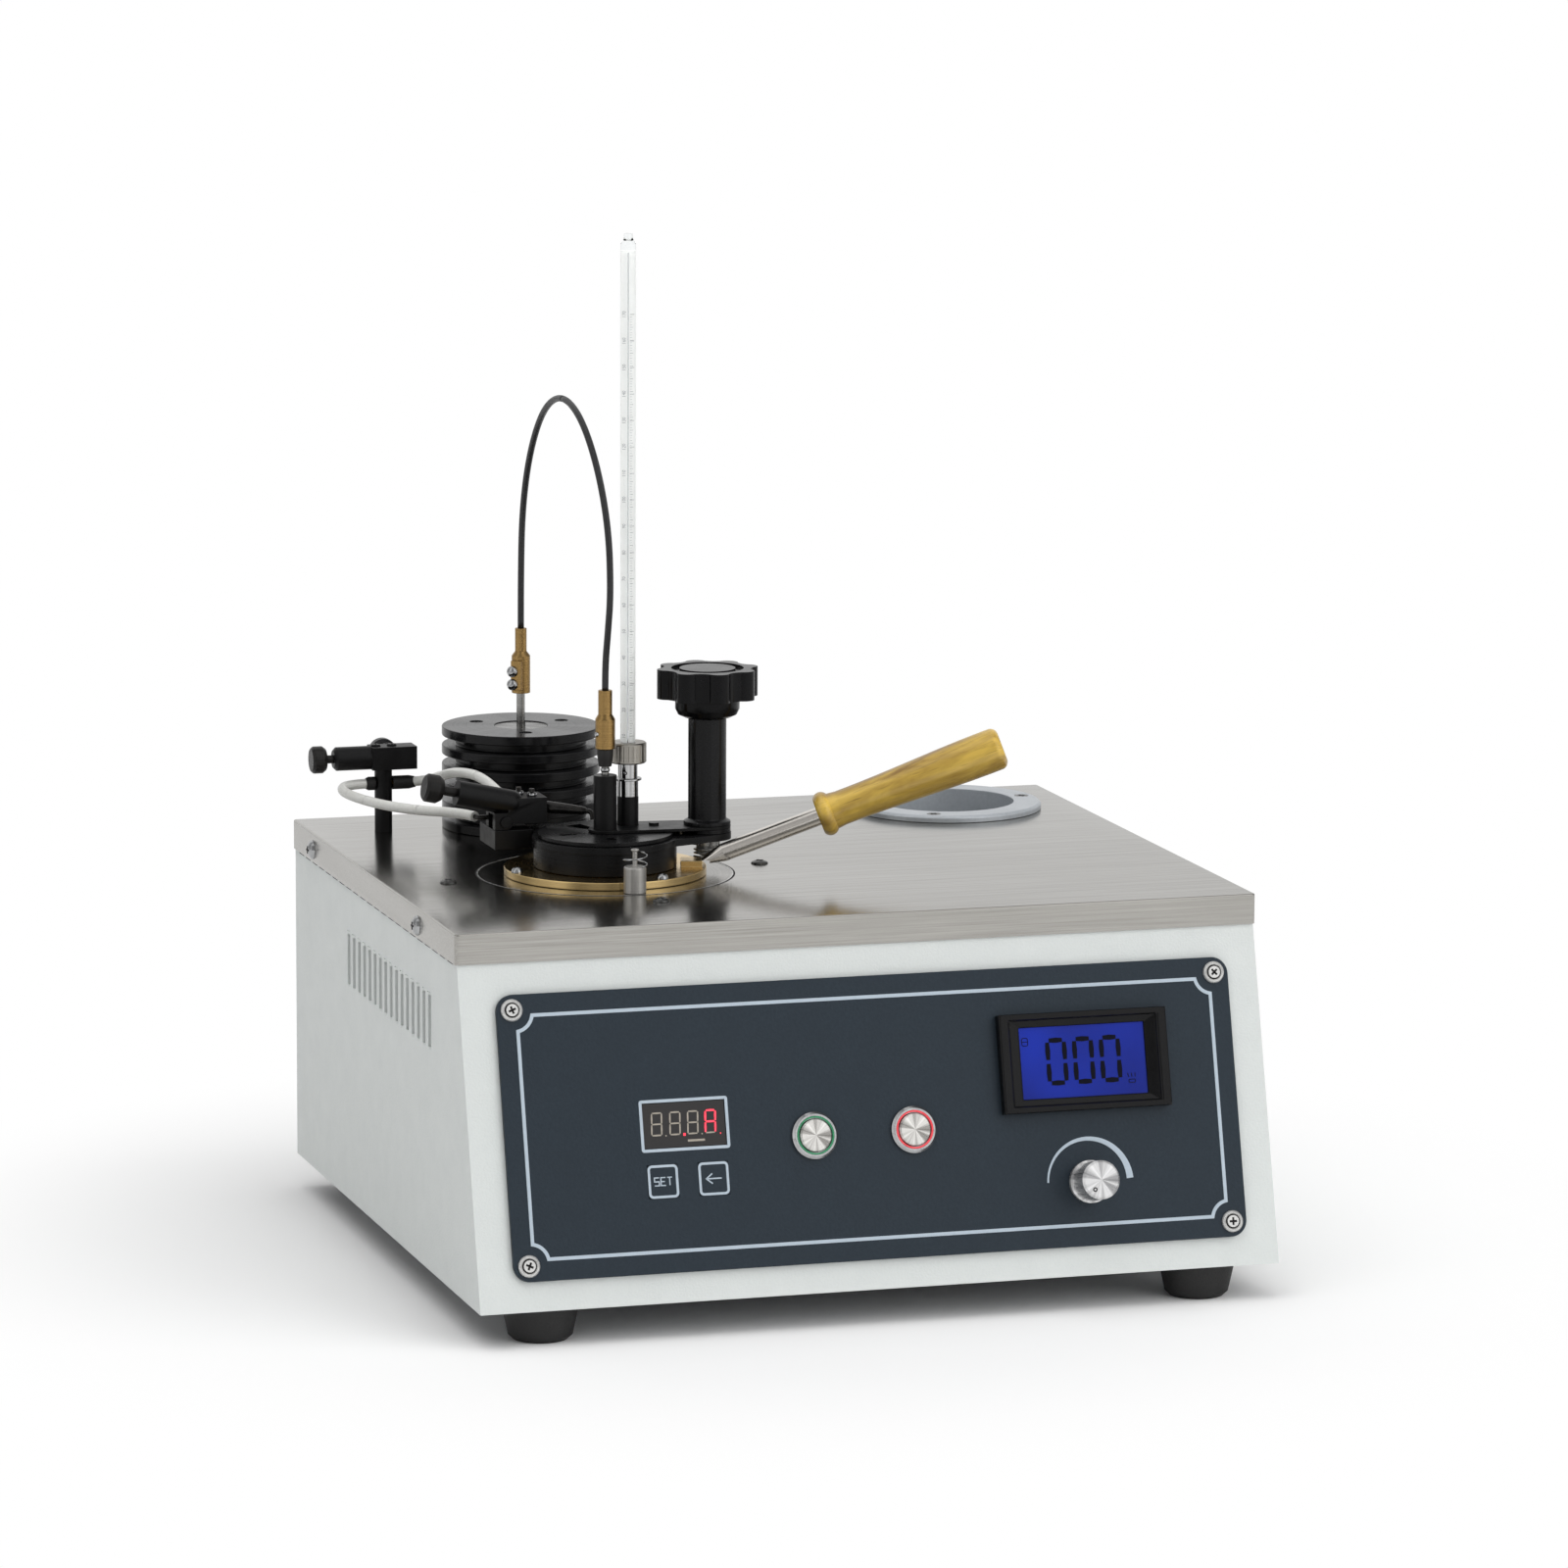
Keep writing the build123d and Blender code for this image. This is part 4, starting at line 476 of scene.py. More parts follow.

# the cover's soft darker patches over the brushed lines are painted reflection
cover_steel, cover_shader = new_finish("brushed_cover", (150, 148, 143), 0.3, Metallic=1.0)
use(cover_steel, cover_shader, brushed, full_links, depth=0.00001, Colour=linear((188, 186, 181)),
    Dark_Colour=linear((128, 125, 120)), Amount=0.7, Stretch=(14, 1500, 1500), Rough=0.17, Spread=0.1, Cloud=9.0)
rounded(0.0008, cover_steel, "top_cover")

chrome, chrome_shader = new_finish("bright_chrome", (178, 180, 182), 0.14, Metallic=1.0)
use(chrome, chrome_shader, handled, [("Colour", "Base Color"), ("Roughness", "Roughness")],
    Colour=linear((196, 197, 198)), Worn_Colour=linear((78, 78, 80)), Amount=1.2, Scale=260.0, Rough=0.12,
    Spread=0.2)
rounded(0.00015, chrome, "cabinet_screws")
# the deck screws are a darker steel, with darker patches
darkened, darkened_shader = new_finish("darkened_steel", (84, 84, 83), 0.3, Metallic=1.0)
use(darkened, darkened_shader, handled, [("Colour", "Base Color"), ("Roughness", "Roughness")],
    Colour=linear((112, 112, 110)), Worn_Colour=linear((24, 24, 24)), Amount=1.6, Scale=420.0, Rough=0.28, Spread=0.3)
rounded(0.00015, darkened, "deck_screws")


def grown(name, tree, finish, body, slot, **inputs):
    """A plain mesh from a Geometry Nodes tree, whose inputs are set by name before it runs."""
    seed = bpy.data.meshes.new(name + "_seed")
    maker = bpy.data.objects.new(name + "_seed", seed)
    scene.collection.objects.link(maker)
    growth = maker.modifiers.new("growth", "NODES")
    growth.node_group = tree
    for socket in tree.interface.items_tree:
        if socket.item_type == "SOCKET" and socket.in_out == "INPUT" and socket.name in inputs:
            growth[socket.identifier] = inputs[socket.name]
    growth[next(s.identifier for s in tree.interface.items_tree if s.name == "Finish")] = finish
    maker.update_tag()
    bpy.context.view_layer.update()
    mesh = bpy.data.meshes.new_from_object(maker.evaluated_get(bpy.context.evaluated_depsgraph_get()))
    mesh.name = name
    bpy.data.objects.remove(maker)
    bpy.data.meshes.remove(seed)
    if not mesh.materials:
        mesh.materials.append(finish)
    thing = bpy.data.objects.new(name, mesh)
    scene.collection.objects.link(thing)
    return ridden(thing, body)


def tree_of(name, sockets):
    """An empty Geometry Nodes tree with named inputs, its last two nodes in place."""
    tree = bpy.data.node_groups.new(name, "GeometryNodeTree")
    for socket, kind, value in sockets:
        made = tree.interface.new_socket(name=socket, in_out="INPUT", socket_type="NodeSocket" + kind)
        if value is not None:
            made.default_value = value
    tree.interface.new_socket(name="Finish", in_out="INPUT", socket_type="NodeSocketMaterial")
    tree.interface.new_socket(name="Mesh", in_out="OUTPUT", socket_type="NodeSocketGeometry")
    start, end = tree.nodes.new("NodeGroupInput"), tree.nodes.new("NodeGroupOutput")
    realize, paintbrush = tree.nodes.new("GeometryNodeRealizeInstances"), tree.nodes.new("GeometryNodeSetMaterial")
    wire(tree, (realize.outputs[0], paintbrush.inputs["Geometry"]), (start.outputs["Finish"], paintbrush.inputs["Material"]),
         (paintbrush.outputs[0], end.inputs[0]))
    return tree, start, realize


# a straight row of small bars, for the dashes of painted shadow under the skirt and for scale marks
bar_row, start, realize = tree_of("row_of_bars", [
    ("Count", "Int", 10), ("First", "Vector", (0, 0, 0)), ("Step", "Vector", (0, 0.01, 0)), ("Bar", "Vector", (0.001,) * 3),
    ("Turn", "Vector", (0, 0, 0))])
line = bar_row.nodes.new("GeometryNodeMeshLine")
bar = bar_row.nodes.new("GeometryNodeMeshCube")
copies = bar_row.nodes.new("GeometryNodeInstanceOnPoints")
wire(bar_row, (start.outputs["Count"], line.inputs["Count"]), (start.outputs["First"], line.inputs["Start Location"]),
     (start.outputs["Step"], line.inputs["Offset"]), (start.outputs["Bar"], bar.inputs["Size"]),
     (line.outputs[0], copies.inputs["Points"]), (bar.outputs[0], copies.inputs["Instance"]),
     (start.outputs["Turn"], copies.inputs["Rotation"]), (copies.outputs[0], realize.inputs[0]))

# painted shadow: short dark dashes laid in the joint under the skirt, where the gap's shade falls
# a near-black rough finish for small dark marks of painted shade
painted_shade, painted_shade_shader = new_finish("painted_shade_dark", (24, 24, 25), 0.85)
use(painted_shade, painted_shade_shader, handled, [("Colour", "Base Color"), ("Roughness", "Roughness")],
    Colour=linear((20, 20, 21)), Worn_Colour=linear((60, 60, 60)), Amount=0.6, Scale=300.0, Rough=0.8, Spread=0.2)
for side in (-1, 1):
    grown("skirt_painted_shadow_" + ("left" if side < 0 else "right"), bar_row, painted_shade, "base", "black_rubber", Count=22,
          First=(side * 0.1594, -0.1095, 0.1412), Step=(0, 0.0115, 0), Bar=(0.0006, 0.0072, 0.0011))

# ---- control panel -------------------------------------------------------------------
# A slate-blue painted plate on the leaning front, held by four screws on cup washers.
# A pale line is printed round it, drawn in round the screws, and a frame round each key.
lean = math.radians(15.09)
panel_left, panel_crest, panel_y = -0.160, 0.1412, -0.11792


def on_panel(x, s, out):
    """A place on the panel: across, down the slope and out of it, in millimetres."""
    x, s, out = x / 1000, s / 1000, out / 1000
    return Vector((panel_left + x, panel_y - s * math.sin(lean) - out * math.cos(lean),
                   panel_crest - s * math.cos(lean) + out * math.sin(lean)))


slate, slate_shader = new_finish("slate_panel", (40, 50, 58), 0.45, Specular_IOR_Level=0.3)
use(slate, slate_shader, handled, full_links, Colour=linear((28, 38, 47)), Worn_Colour=linear((42, 53, 62)),
    Amount=0.9, Scale=75.0, Rough=0.45, Spread=0.15)
rounded(0.0004, slate, "front_panel")


def stroked(name, lines, finish, body, out, thick=0.08):
    """Printed strokes: each line is its points on the panel, whether it closes, and its width or widths."""
    mesh = bpy.data.meshes.new(name)
    made = bmesh.new()
    for points, closed, width in lines:
        count = len(points)
        widths = width if isinstance(width, (list, tuple)) else [width] * count
        rails = []
        for i, (x, s) in enumerate(points):
            before = points[i - 1] if closed or i else points[i]
            after = points[(i + 1) % count] if closed or i < count - 1 else points[i]
            in_x, in_s, out_x, out_s = x - before[0], s - before[1], after[0] - x, after[1] - s
            one, two = math.hypot(in_x, in_s) or 1, math.hypot(out_x, out_s) or 1
            ax, as_ = in_x / one + out_x / two, in_s / one + out_s / two
            size = math.hypot(ax, as_) or 1
            nx, ns = -as_ / size, ax / size
            turn = max(0.5, min(1.0, size / 2 if one != 1 and two != 1 else 1.0))
            half = widths[i] / 2 / turn
            rails.append([made.verts.new(on_panel(x + k * half * nx, s + k * half * ns, level))
                          for level in (out, out + thick) for k in (-1, 1)])
        pairs = list(zip(rails, rails[1:])) + ([(rails[-1], rails[0])] if closed else [])
        for a, b in pairs:
            for i, j in ((0, 1), (1, 3), (3, 2), (2, 0)):
                made.faces.new((a[i], a[j], b[j], b[i]))
        if not closed:
            made.faces.new([rails[0][i] for i in (0, 2, 3, 1)])
            made.faces.new([rails[-1][i] for i in (0, 1, 3, 2)])
    bmesh.ops.recalc_face_normals(made, faces=made.faces)
    made.to_mesh(mesh)
    made.free()
    return ridden(piece(name, mesh, finish), body)


def arc_of(x, s, radius, start, end, steps=10):
    """Points round a centre on the panel; the angle is in degrees, down the slope from +x."""
    return [(x + radius * math.cos(math.radians(start + (end - start) * i / steps)),
             s + radius * math.sin(math.radians(start + (end - start) * i / steps))) for i in range(steps + 1)]


print_ink, ink_shader = new_finish("pale_print", (176, 190, 202), 0.5)
use(print_ink, ink_shader, handled, [("Colour", "Base Color"), ("Roughness", "Roughness")],
    Colour=linear((184, 197, 208)), Worn_Colour=linear((140, 154, 168)), Amount=0.7, Scale=200.0, Rough=0.48,
    Spread=0.2)
face, line_left, line_right, line_top, line_low = 2.02, 22.2, 298.8, 20.4, 112.4
screw_in = 5.6
border = (arc_of(line_left - 1.2, line_top - 1.2, 7.2, 80, 10) + arc_of(line_right + 1.2, line_top - 1.2, 7.2, 170, 100)
          + arc_of(line_right + 1.2, line_low + 1.2, 7.2, 260, 190) + arc_of(line_left - 1.2, line_low + 1.2, 7.2, 350, 280))
stroked("panel_border", [(border, True, 1.35)], print_ink, "base", face)


def box_of(x, s, wide, high, radius):
    """A rounded frame on the panel, as points."""
    dx, ds = wide / 2 - radius, high / 2 - radius
    return [p for cx, cs, a in ((dx, ds, 0), (-dx, ds, 90), (-dx, -ds, 180), (dx, -ds, 270))
            for p in arc_of(x + cx, s + cs, radius, a, a + 90, 5)]


stroked("window_frame", [(box_of(84.6, 64.8, 33.7, 18.6, 0.5), True, 1.15)], print_ink, "base", face)

# ---- temperature display ---------------------------------------------------------------
# Four seven-segment digits behind a smoked window, with two touch keys under it. The
# bars that are off show as grey ghosts; the last digit glows red.
smoked, smoked_shader = new_finish("smoked_window", (14, 12, 13), 0.16)
use(smoked, smoked_shader, handled, [("Colour", "Base Color"), ("Roughness", "Roughness")],
    Colour=linear((16, 13, 14)), Worn_Colour=linear((34, 30, 31)), Amount=0.5, Scale=90.0, Rough=0.16, Spread=0.1)
dressed(smoked, "led_display")


def bars_of(x, s, wide, high, lit, slant=0.0, bar=0.16):
    """The bars of one seven-segment digit that are lit: a top, b and c right, d foot, e and f left, g middle."""
    w, h, gap = wide / 2, high / 2, bar * wide * 0.36
    runs = {"a": ((-w, -h), (w, -h)), "b": ((w, -h), (w, 0)), "c": ((w, 0), (w, h)), "d": ((-w, h), (w, h)),
            "e": ((-w, 0), (-w, h)), "f": ((-w, -h), (-w, 0)), "g": ((-w, 0), (w, 0))}
    made = []
    for name in lit:
        (x0, s0), (x1, s1) = runs[name]
        size = math.hypot(x1 - x0, s1 - s0)
        ux, us = (x1 - x0) / size, (s1 - s0) / size
        ends = []
        for k in (gap, size / 2, size - gap):
            px, ps = x0 + ux * k, s0 + us * k
            ends.append((x + px - slant * ps, s + ps))
        made.append((ends, False, [bar * wide * 0.75, bar * wide, bar * wide * 0.75]))
    return made


ghost, ghost_shader = new_finish("unlit_bar", (108, 101, 92), 0.5)
use(ghost, ghost_shader, handled, [("Colour", "Base Color"), ("Roughness", "Roughness")],
    Colour=linear((172, 164, 152)), Worn_Colour=linear((120, 113, 104)), Amount=0.8, Scale=400.0, Rough=0.5, Spread=0.1)
glow, glow_shader = new_finish("lit_bar", (255, 40, 70), 0.4, Emission_Strength=0.9)
use(glow, glow_shader, handled, [("Colour", "Base Color"), ("Colour", "Emission Color")],
    Colour=linear((255, 38, 62)), Worn_Colour=linear((255, 120, 140)), Amount=0.7, Scale=500.0)
digit_x, digit_s = (73.8, 81.0, 88.0, 94.9), 64.2
off_bars, on_bars = [], []
for i, x in enumerate(digit_x):
    if i < 3:
        off_bars += bars_of(x, digit_s, 3.9, 8.4, "abcdefg", 0.05)
        if i != 1:
            off_bars.append(([(x + 3.1, digit_s + 4.5), (x + 3.6, digit_s + 4.5)], False, 0.5))
    else:
        off_bars += bars_of(x, digit_s, 3.9, 8.4, "d", 0.05)
        on_bars += bars_of(x, digit_s, 3.9, 8.4, "abcefg", 0.05, 0.2)
on_bars += [([(84.0, digit_s + 4.4), (84.9, digit_s + 4.4)], False, 1.0),
            ([(98.4, digit_s + 4.7), (98.8, digit_s + 4.7)], False, 0.5)]
off_bars.append(([(85.6, 71.0), (92.3, 71.0)], False, 0.8))
stroked("unlit_bars", off_bars, ghost, "base", 1.62, 0.05)
stroked("lit_bars", on_bars, glow, "base", 1.66, 0.05)

# the keys' own film: the panel's paint with a white frame and a generic mark
dressed(slate, "set_key", "shift_key")
key_top, key_s = 2.22, 85.9


def letters(x, s, words, wide):
    """Plain block letters as strokes: S, E and T only."""
    shapes = {"S": [[(1, -1), (-1, -1), (-1, 0), (1, 0), (1, 1), (-1, 1)]],
              "E": [[(1, -1), (-1, -1), (-1, 1), (1, 1)], [(-1, 0), (0.6, 0)]],
              "T": [[(-1, -1), (1, -1)], [(0, -1), (0, 1)]]}
    made, step = [], wide / len(words)
    for i, letter in enumerate(words):
        left = x - wide / 2 + step * (i + 0.5)
        made += [([(left + 0.36 * step * px, s + 1.5 * ps) for px, ps in run], False, 0.42) for run in shapes[letter]]
    return made


stroked("set_key_print", [(box_of(74.7, key_s, 10.9, 11.6, 1.3), True, 0.95)] + letters(74.7, key_s, "SET", 7.6),
        print_ink, "set_switch", key_top)
arrow = [([(91.6, key_s), (97.6, key_s)], False, 0.5), ([(94.0, key_s - 1.9), (91.6, key_s), (94.0, key_s + 1.9)], False, 0.5)]
stroked("shift_key_print", [(box_of(94.6, key_s, 10.9, 11.6, 1.3), True, 0.95)] + arrow, print_ink, "shift_switch",
        key_top)

# ---- push buttons ----------------------------------------------------------------------
# Chromed brass bodies with a lamp ring, green to start and red to stop, round a cap of
# spun steel that travels into the body.
# spun lines: fine turned lines, and streaks of lighter and darker tone round the axis that are painted reflection
spun, ends_in, ends_out = group_of(
    "spun_lines",
    [("Centre", "Vector", (0, 0, 0)), ("Turn", "Vector", (0, 0, 0)), ("Colour", "Color", (0.5, 0.5, 0.5, 1)),
     ("Dark Colour", "Color", (0.3, 0.3, 0.3, 1)), ("Amount", "Float", 0.5), ("Lines", "Float", 2500.0),
     ("Fan", "Float", 0.0), ("Rough", "Float", 0.3), ("Spread", "Float", 0.15)],
    [("Colour", "Color"), ("Roughness", "Float"), ("Height", "Float")])
place = add(spun, "TexCoord")
local = add(spun, "Mapping", vector_type="TEXTURE")
flat = add(spun, "SeparateXYZ")
square = add(spun, "CombineXYZ")
reach_out = add(spun, "VectorMath", operation="LENGTH")
profile = add(spun, "CombineXYZ")
lines = add(spun, "TexNoise", Detail=2.0, Roughness=0.7)
# painted reflection: a noise over the direction round the axis gives streaks of light and dark
round_way = add(spun, "VectorMath", operation="NORMALIZE")
painted_fan = add(spun, "TexNoise", Scale=1.7, Detail=3.0, Roughness=0.6)
painted_fan_wide = add(spun, "MapRange")
painted_fan_wide.inputs["From Min"].default_value, painted_fan_wide.inputs["From Max"].default_value = 0.36, 0.64
shared = add(spun, "Mix", data_type="FLOAT")
amount = add(spun, "Math", operation="MULTIPLY")
shade = add(spun, "Mix", data_type="RGBA")
level = add(spun, "Math", operation="SUBTRACT")
level.inputs[1].default_value = 0.5
rough = add(spun, "Math", operation="MULTIPLY_ADD")
wire(spun, (place.outputs["Object"], local.inputs["Vector"]), (ends_in.outputs["Centre"], local.inputs["Location"]),
     (ends_in.outputs["Turn"], local.inputs["Rotation"]), (local.outputs[0], flat.inputs[0]),
     (flat.outputs["X"], square.inputs["X"]), (flat.outputs["Y"], square.inputs["Y"]),
     (square.outputs[0], reach_out.inputs[0]), (reach_out.outputs["Value"], profile.inputs["X"]),
     (flat.outputs["Z"], profile.inputs["Y"]), (profile.outputs[0], lines.inputs["Vector"]),
     (ends_in.outputs["Lines"], lines.inputs["Scale"]), (square.outputs[0], round_way.inputs[0]),
     (round_way.outputs[0], painted_fan.inputs["Vector"]), (painted_fan.outputs["Fac"], painted_fan_wide.inputs["Value"]),
     (ends_in.outputs["Fan"], shared.inputs["Factor"]), (lines.outputs["Fac"], shared.inputs["A"]),
     (painted_fan_wide.outputs[0], shared.inputs["B"]), (shared.outputs["Result"], amount.inputs[0]),
     (ends_in.outputs["Amount"], amount.inputs[1]), (amount.outputs[0], shade.inputs["Factor"]),
     (ends_in.outputs["Colour"], shade.inputs["A"]), (ends_in.outputs["Dark Colour"], shade.inputs["B"]),
     (shade.outputs["Result"], ends_out.inputs["Colour"]), (shared.outputs["Result"], level.inputs[0]),
     (level.outputs[0], rough.inputs[0]), (ends_in.outputs["Spread"], rough.inputs[1]),
     (ends_in.outputs["Rough"], rough.inputs[2]), (rough.outputs[0], ends_out.inputs["Roughness"]),
     (lines.outputs["Fac"], ends_out.inputs["Height"]))
facing = (math.pi / 2 - lean, 0, 0)


# each finish sets the share of painted reflection beside its turned lines
def spun_finish(name, colour, dark, centre, amount=0.8, painted_fan=0.6, rough=0.22, spread=0.2, turn=facing, lines=3000.0,
                **sockets):
    made, shader = new_finish(name, colour, rough, **{"Metallic": 1.0, **sockets})
    use(made, shader, spun, full_links, depth=0.00004, Colour=linear(colour), Dark_Colour=linear(dark), Centre=centre, Turn=turn,
        Amount=amount, Fan=painted_fan, Rough=rough, Spread=spread, Lines=lines)
    return made


for name, x in (("start_button", 135.4), ("stop_button", 174.9)):
    rounded(0.0003, spun_finish(name + "_cap", (240, 238, 234), (112, 109, 105), on_panel(x, 72.0, 0), amount=1.0, painted_fan=0.85,
                                Metallic=0.6), name)
rounded(0.0003, chrome, "button_bodies")
lamps, lamp_shader = new_finish("lamp_rings", (40, 130, 80), 0.25, Emission_Strength=0.18)
tree = lamps.node_tree
where, across = add(tree, "TexCoord"), add(tree, "SeparateXYZ")
right_one = add(tree, "Math", operation="GREATER_THAN")
right_one.inputs[1].default_value = -0.005
moulded = add(tree, "TexNoise", Scale=700.0, Detail=2.0)
green, red, lamp = (add(tree, "Mix", data_type="RGBA") for _ in range(3))
green.inputs["A"].default_value, green.inputs["B"].default_value = linear((18, 96, 58)), linear((52, 138, 96))
red.inputs["A"].default_value, red.inputs["B"].default_value = linear((206, 30, 44)), linear((236, 84, 92))
wire(tree, (where.outputs["Object"], across.inputs[0]), (across.outputs["X"], right_one.inputs[0]),
     (where.outputs["Object"], moulded.inputs["Vector"]), (moulded.outputs["Fac"], green.inputs["Factor"]),
     (moulded.outputs["Fac"], red.inputs["Factor"]), (right_one.outputs[0], lamp.inputs["Factor"]),
     (green.outputs["Result"], lamp.inputs["A"]), (red.outputs["Result"], lamp.inputs["B"]),
     (lamp.outputs["Result"], lamp_shader.inputs["Base Color"]),
     (lamp.outputs["Result"], lamp_shader.inputs["Emission Color"]))
dressed(lamps, "lamp_rings")

# ---- panel meter -----------------------------------------------------------------------
# A snap-in black moulding with a bevelled frame. Its blue back-lit crystal shows three
# dark noughts.
moulding, moulding_shader = new_finish("meter_moulding", (14, 14, 15), 0.2, Specular_IOR_Level=0.2)
use(moulding, moulding_shader, handled, full_links, Colour=linear((8, 8, 9)), Worn_Colour=linear((34, 34, 36)),
    Amount=0.5, Scale=170.0, Rough=0.16, Spread=0.2)
window_x, window_s = 244.7, 49.5
frame_steps = ((0, 2.02, 0.5), (0, 5.9, 0.5), (0.06, 6.4, 0.9), (0.4, 6.4, 0.7), (0.46, 5.9, 0.6), (0.5, 5.2, 0.5),
               (0.56, 5.0, 0.5), (0.9, 4.3, 0.4), (0.97, 4.05, 0.3), (1, 3.4, 0.3), (1, 2.02, 0.3))


def framed(steps, wide, high, in_x, in_s):
    """A moulded frame: each step is its share of the way in, its level and its corner radius."""
    mesh = bpy.data.meshes.new("frame")
    made = bmesh.new()
    rings = [[made.verts.new(on_panel(px, ps, out)) for px, ps in box_of(
        window_x, window_s, wide - 2 * in_x * share, high - 2 * in_s * share, radius)] for share, out, radius in steps]
    for one, two in zip(rings, rings[1:] + rings[:1]):
        for k in range(len(one)):
            made.faces.new((one[k - 1], one[k], two[k], two[k - 1]))
    bmesh.ops.recalc_face_normals(made, faces=made.faces)
    made.to_mesh(mesh)
    made.free()
    return mesh


stepped = piece("meter_frame", framed(frame_steps, 67.8, 38.1, 8.7, 5.35), moulding)
edge = stepped.modifiers.new("broken_edges", "BEVEL")
edge.width, edge.segments, edge.limit_method, edge.angle_limit = 0.0002, 2, "ANGLE", math.radians(24)
ridden(stepped, "base", ["meter_bezel"])
crystal, crystal_shader = new_finish("blue_crystal", (20, 40, 150), 0.2, Emission_Strength=0.25, Specular_IOR_Level=0.2)
tree = crystal.node_tree
where, patches, soft = add(tree, "TexCoord"), add(tree, "TexNoise", Scale=34.0, Detail=1.0), add(tree, "Mix", data_type="RGBA")
soft.inputs["A"].default_value, soft.inputs["B"].default_value = linear((4, 18, 92)), linear((12, 42, 160))
wire(tree, (where.outputs["Object"], patches.inputs["Vector"]), (patches.outputs["Fac"], soft.inputs["Factor"]),
     (soft.outputs["Result"], crystal_shader.inputs["Base Color"]),
     (soft.outputs["Result"], crystal_shader.inputs["Emission Color"]))
dressed(crystal, "meter_module")
dark_ink, dark_shader = new_finish("crystal_bars", (14, 16, 34), 0.35, Specular_IOR_Level=0.1)
use(dark_ink, dark_shader, handled, [("Colour", "Base Color"), ("Roughness", "Roughness")],
    Colour=linear((4, 5, 18)), Worn_Colour=linear((12, 16, 44)), Amount=0.6, Scale=300.0, Rough=0.35, Spread=0.1)
crystal_bars = []
for x in (234.0, 244.9, 255.8):
    crystal_bars += bars_of(x, 49.3, 6.8, 16.4, "abcdef", 0.0, 0.3)
crystal_bars += [(box_of(221.6, 41.2, 2.4, 3.0, 0.8), True, 0.28), ([(220.4, 41.2), (222.8, 41.2)], False, 0.28)]
crystal_bars += [([(262.2 + 1.5 * i, 55.2), (262.6 + 1.3 * i, 56.8)], False, 0.3) for i in range(3)]
crystal_bars.append((box_of(263.9, 58.3, 2.6, 1.2, 0.4), True, 0.28))
stroked("crystal_digits", crystal_bars, dark_ink, "base", 3.32, 0.06)

# ---- power dial ------------------------------------------------------------------------
# A spun aluminium knob over a printed arc that widens as the power rises. Its spun streaks of light
# and dark round the axis are painted reflection, and a small dark dot, painted shade standing for a dimple, marks where
# it points.
dial_x, dial_s = 243.9, 96.0
rounded(0.0003, spun_finish("dial_alloy", (240, 240, 240), (120, 120, 122), on_panel(dial_x, dial_s, 0), amount=1.0, painted_fan=0.8,
                            Metallic=0.6),
        "power_dial")
dressed(zinc, "power_control")
sweep_points = arc_of(dial_x, dial_s, 16.6, 182, 358, 30)
stroked("power_arc", [(sweep_points, False, [0.7 + 2.0 * (i / 30) ** 1.3 for i in range(31)])], print_ink, "base",
        face)
stroked("dial_mark", [(box_of(dial_x - 2.9, dial_s + 3.6, 1.3, 1.3, 0.6), True, 0.5)], painted_shade, "dial",
        17.0, 0.05)

# ---- stove disc and its screws -----------------------------------------------------------
# A stainless disc let into the cover round the cup's hole, spun to a fine finish. The
# screws on the deck are plated, with cross recesses.
spun_up = (0, 0, 0)
cup_spot = Vector((cup_x, cup_y, 0))
rounded(0.0002, spun_finish("spun_disc", (176, 173, 167), (104, 102, 98), cup_spot, painted_fan=0.25, rough=0.2, spread=0.15,
                            turn=spun_up, lines=1900.0), "stove_disc")


def turned_mesh(name, profile, segments=36):
    """A turned body about Z; the profile is its radius and height from the bottom to the top, in millimetres."""
    mesh = bpy.data.meshes.new(name)
    made = bmesh.new()
    rings, ring_shaped = [], profile[0] == profile[-1]
    for r, h in profile[:-1] if ring_shaped else profile:
        angles = [2 * math.pi * k / segments for k in range(segments)] if r else [0]
        rings.append([made.verts.new((r * math.cos(a) / 1000, r * math.sin(a) / 1000, h / 1000)) for a in angles])
    for low, high in zip(rings, rings[1:] + rings[:1] if ring_shaped else rings[1:]):
        for k in range(segments):
            corners = [low[k % len(low)], low[(k + 1) % len(low)], high[(k + 1) % len(high)], high[k % len(high)]]
            made.faces.new([v for i, v in enumerate(corners) if v not in corners[:i]]).smooth = True
    for ring, inward in ((rings[0], -1), (rings[-1], 1)):
        if len(ring) > 1 and not ring_shaped:
            made.faces.new(ring[::inward])
    bmesh.ops.recalc_face_normals(made, faces=made.faces)
    for rim in made.edges:
        rim.smooth = rim.calc_face_angle(0) < math.radians(38)
    made.to_mesh(mesh)
    made.free()
    return mesh


def flat_shape(name, loops, height):
    """A flat plate with holes from closed lines in millimetres, a filled curve made a mesh."""
    curve = bpy.data.curves.new(name, "CURVE")
    curve.dimensions, curve.fill_mode, curve.extrude = "2D", "BOTH", height / 2000
    for line in loops:
        spline = curve.splines.new("POLY")
        spline.points.add(len(line) - 1)
        spline.use_cyclic_u = True
        for point, (x, y) in zip(spline.points, line):
            point.co = (x / 1000, y / 1000, 0, 1)
    holder = bpy.data.objects.new(name, curve)
    scene.collection.objects.link(holder)
    bpy.context.view_layer.update()
    mesh = bpy.data.meshes.new_from_object(holder.evaluated_get(bpy.context.evaluated_depsgraph_get()))
    mesh.transform(Matrix.Translation((0, 0, height / 2000)))
    mesh.materials.clear()
    bpy.data.objects.remove(holder)
    bpy.data.curves.remove(curve)
    return mesh


def cross_line(arm, slot):
    a, b = arm, slot
    return [(b, a), (b, b), (a, b), (a, -b), (b, -b), (b, -a), (-b, -a), (-b, -b), (-a, -b), (-a, b), (-b, b), (-b, a)]


def ring_line(radius, count=32):
    return [(radius * math.cos(2 * math.pi * k / count), radius * math.sin(2 * math.pi * k / count)) for k in range(count)]


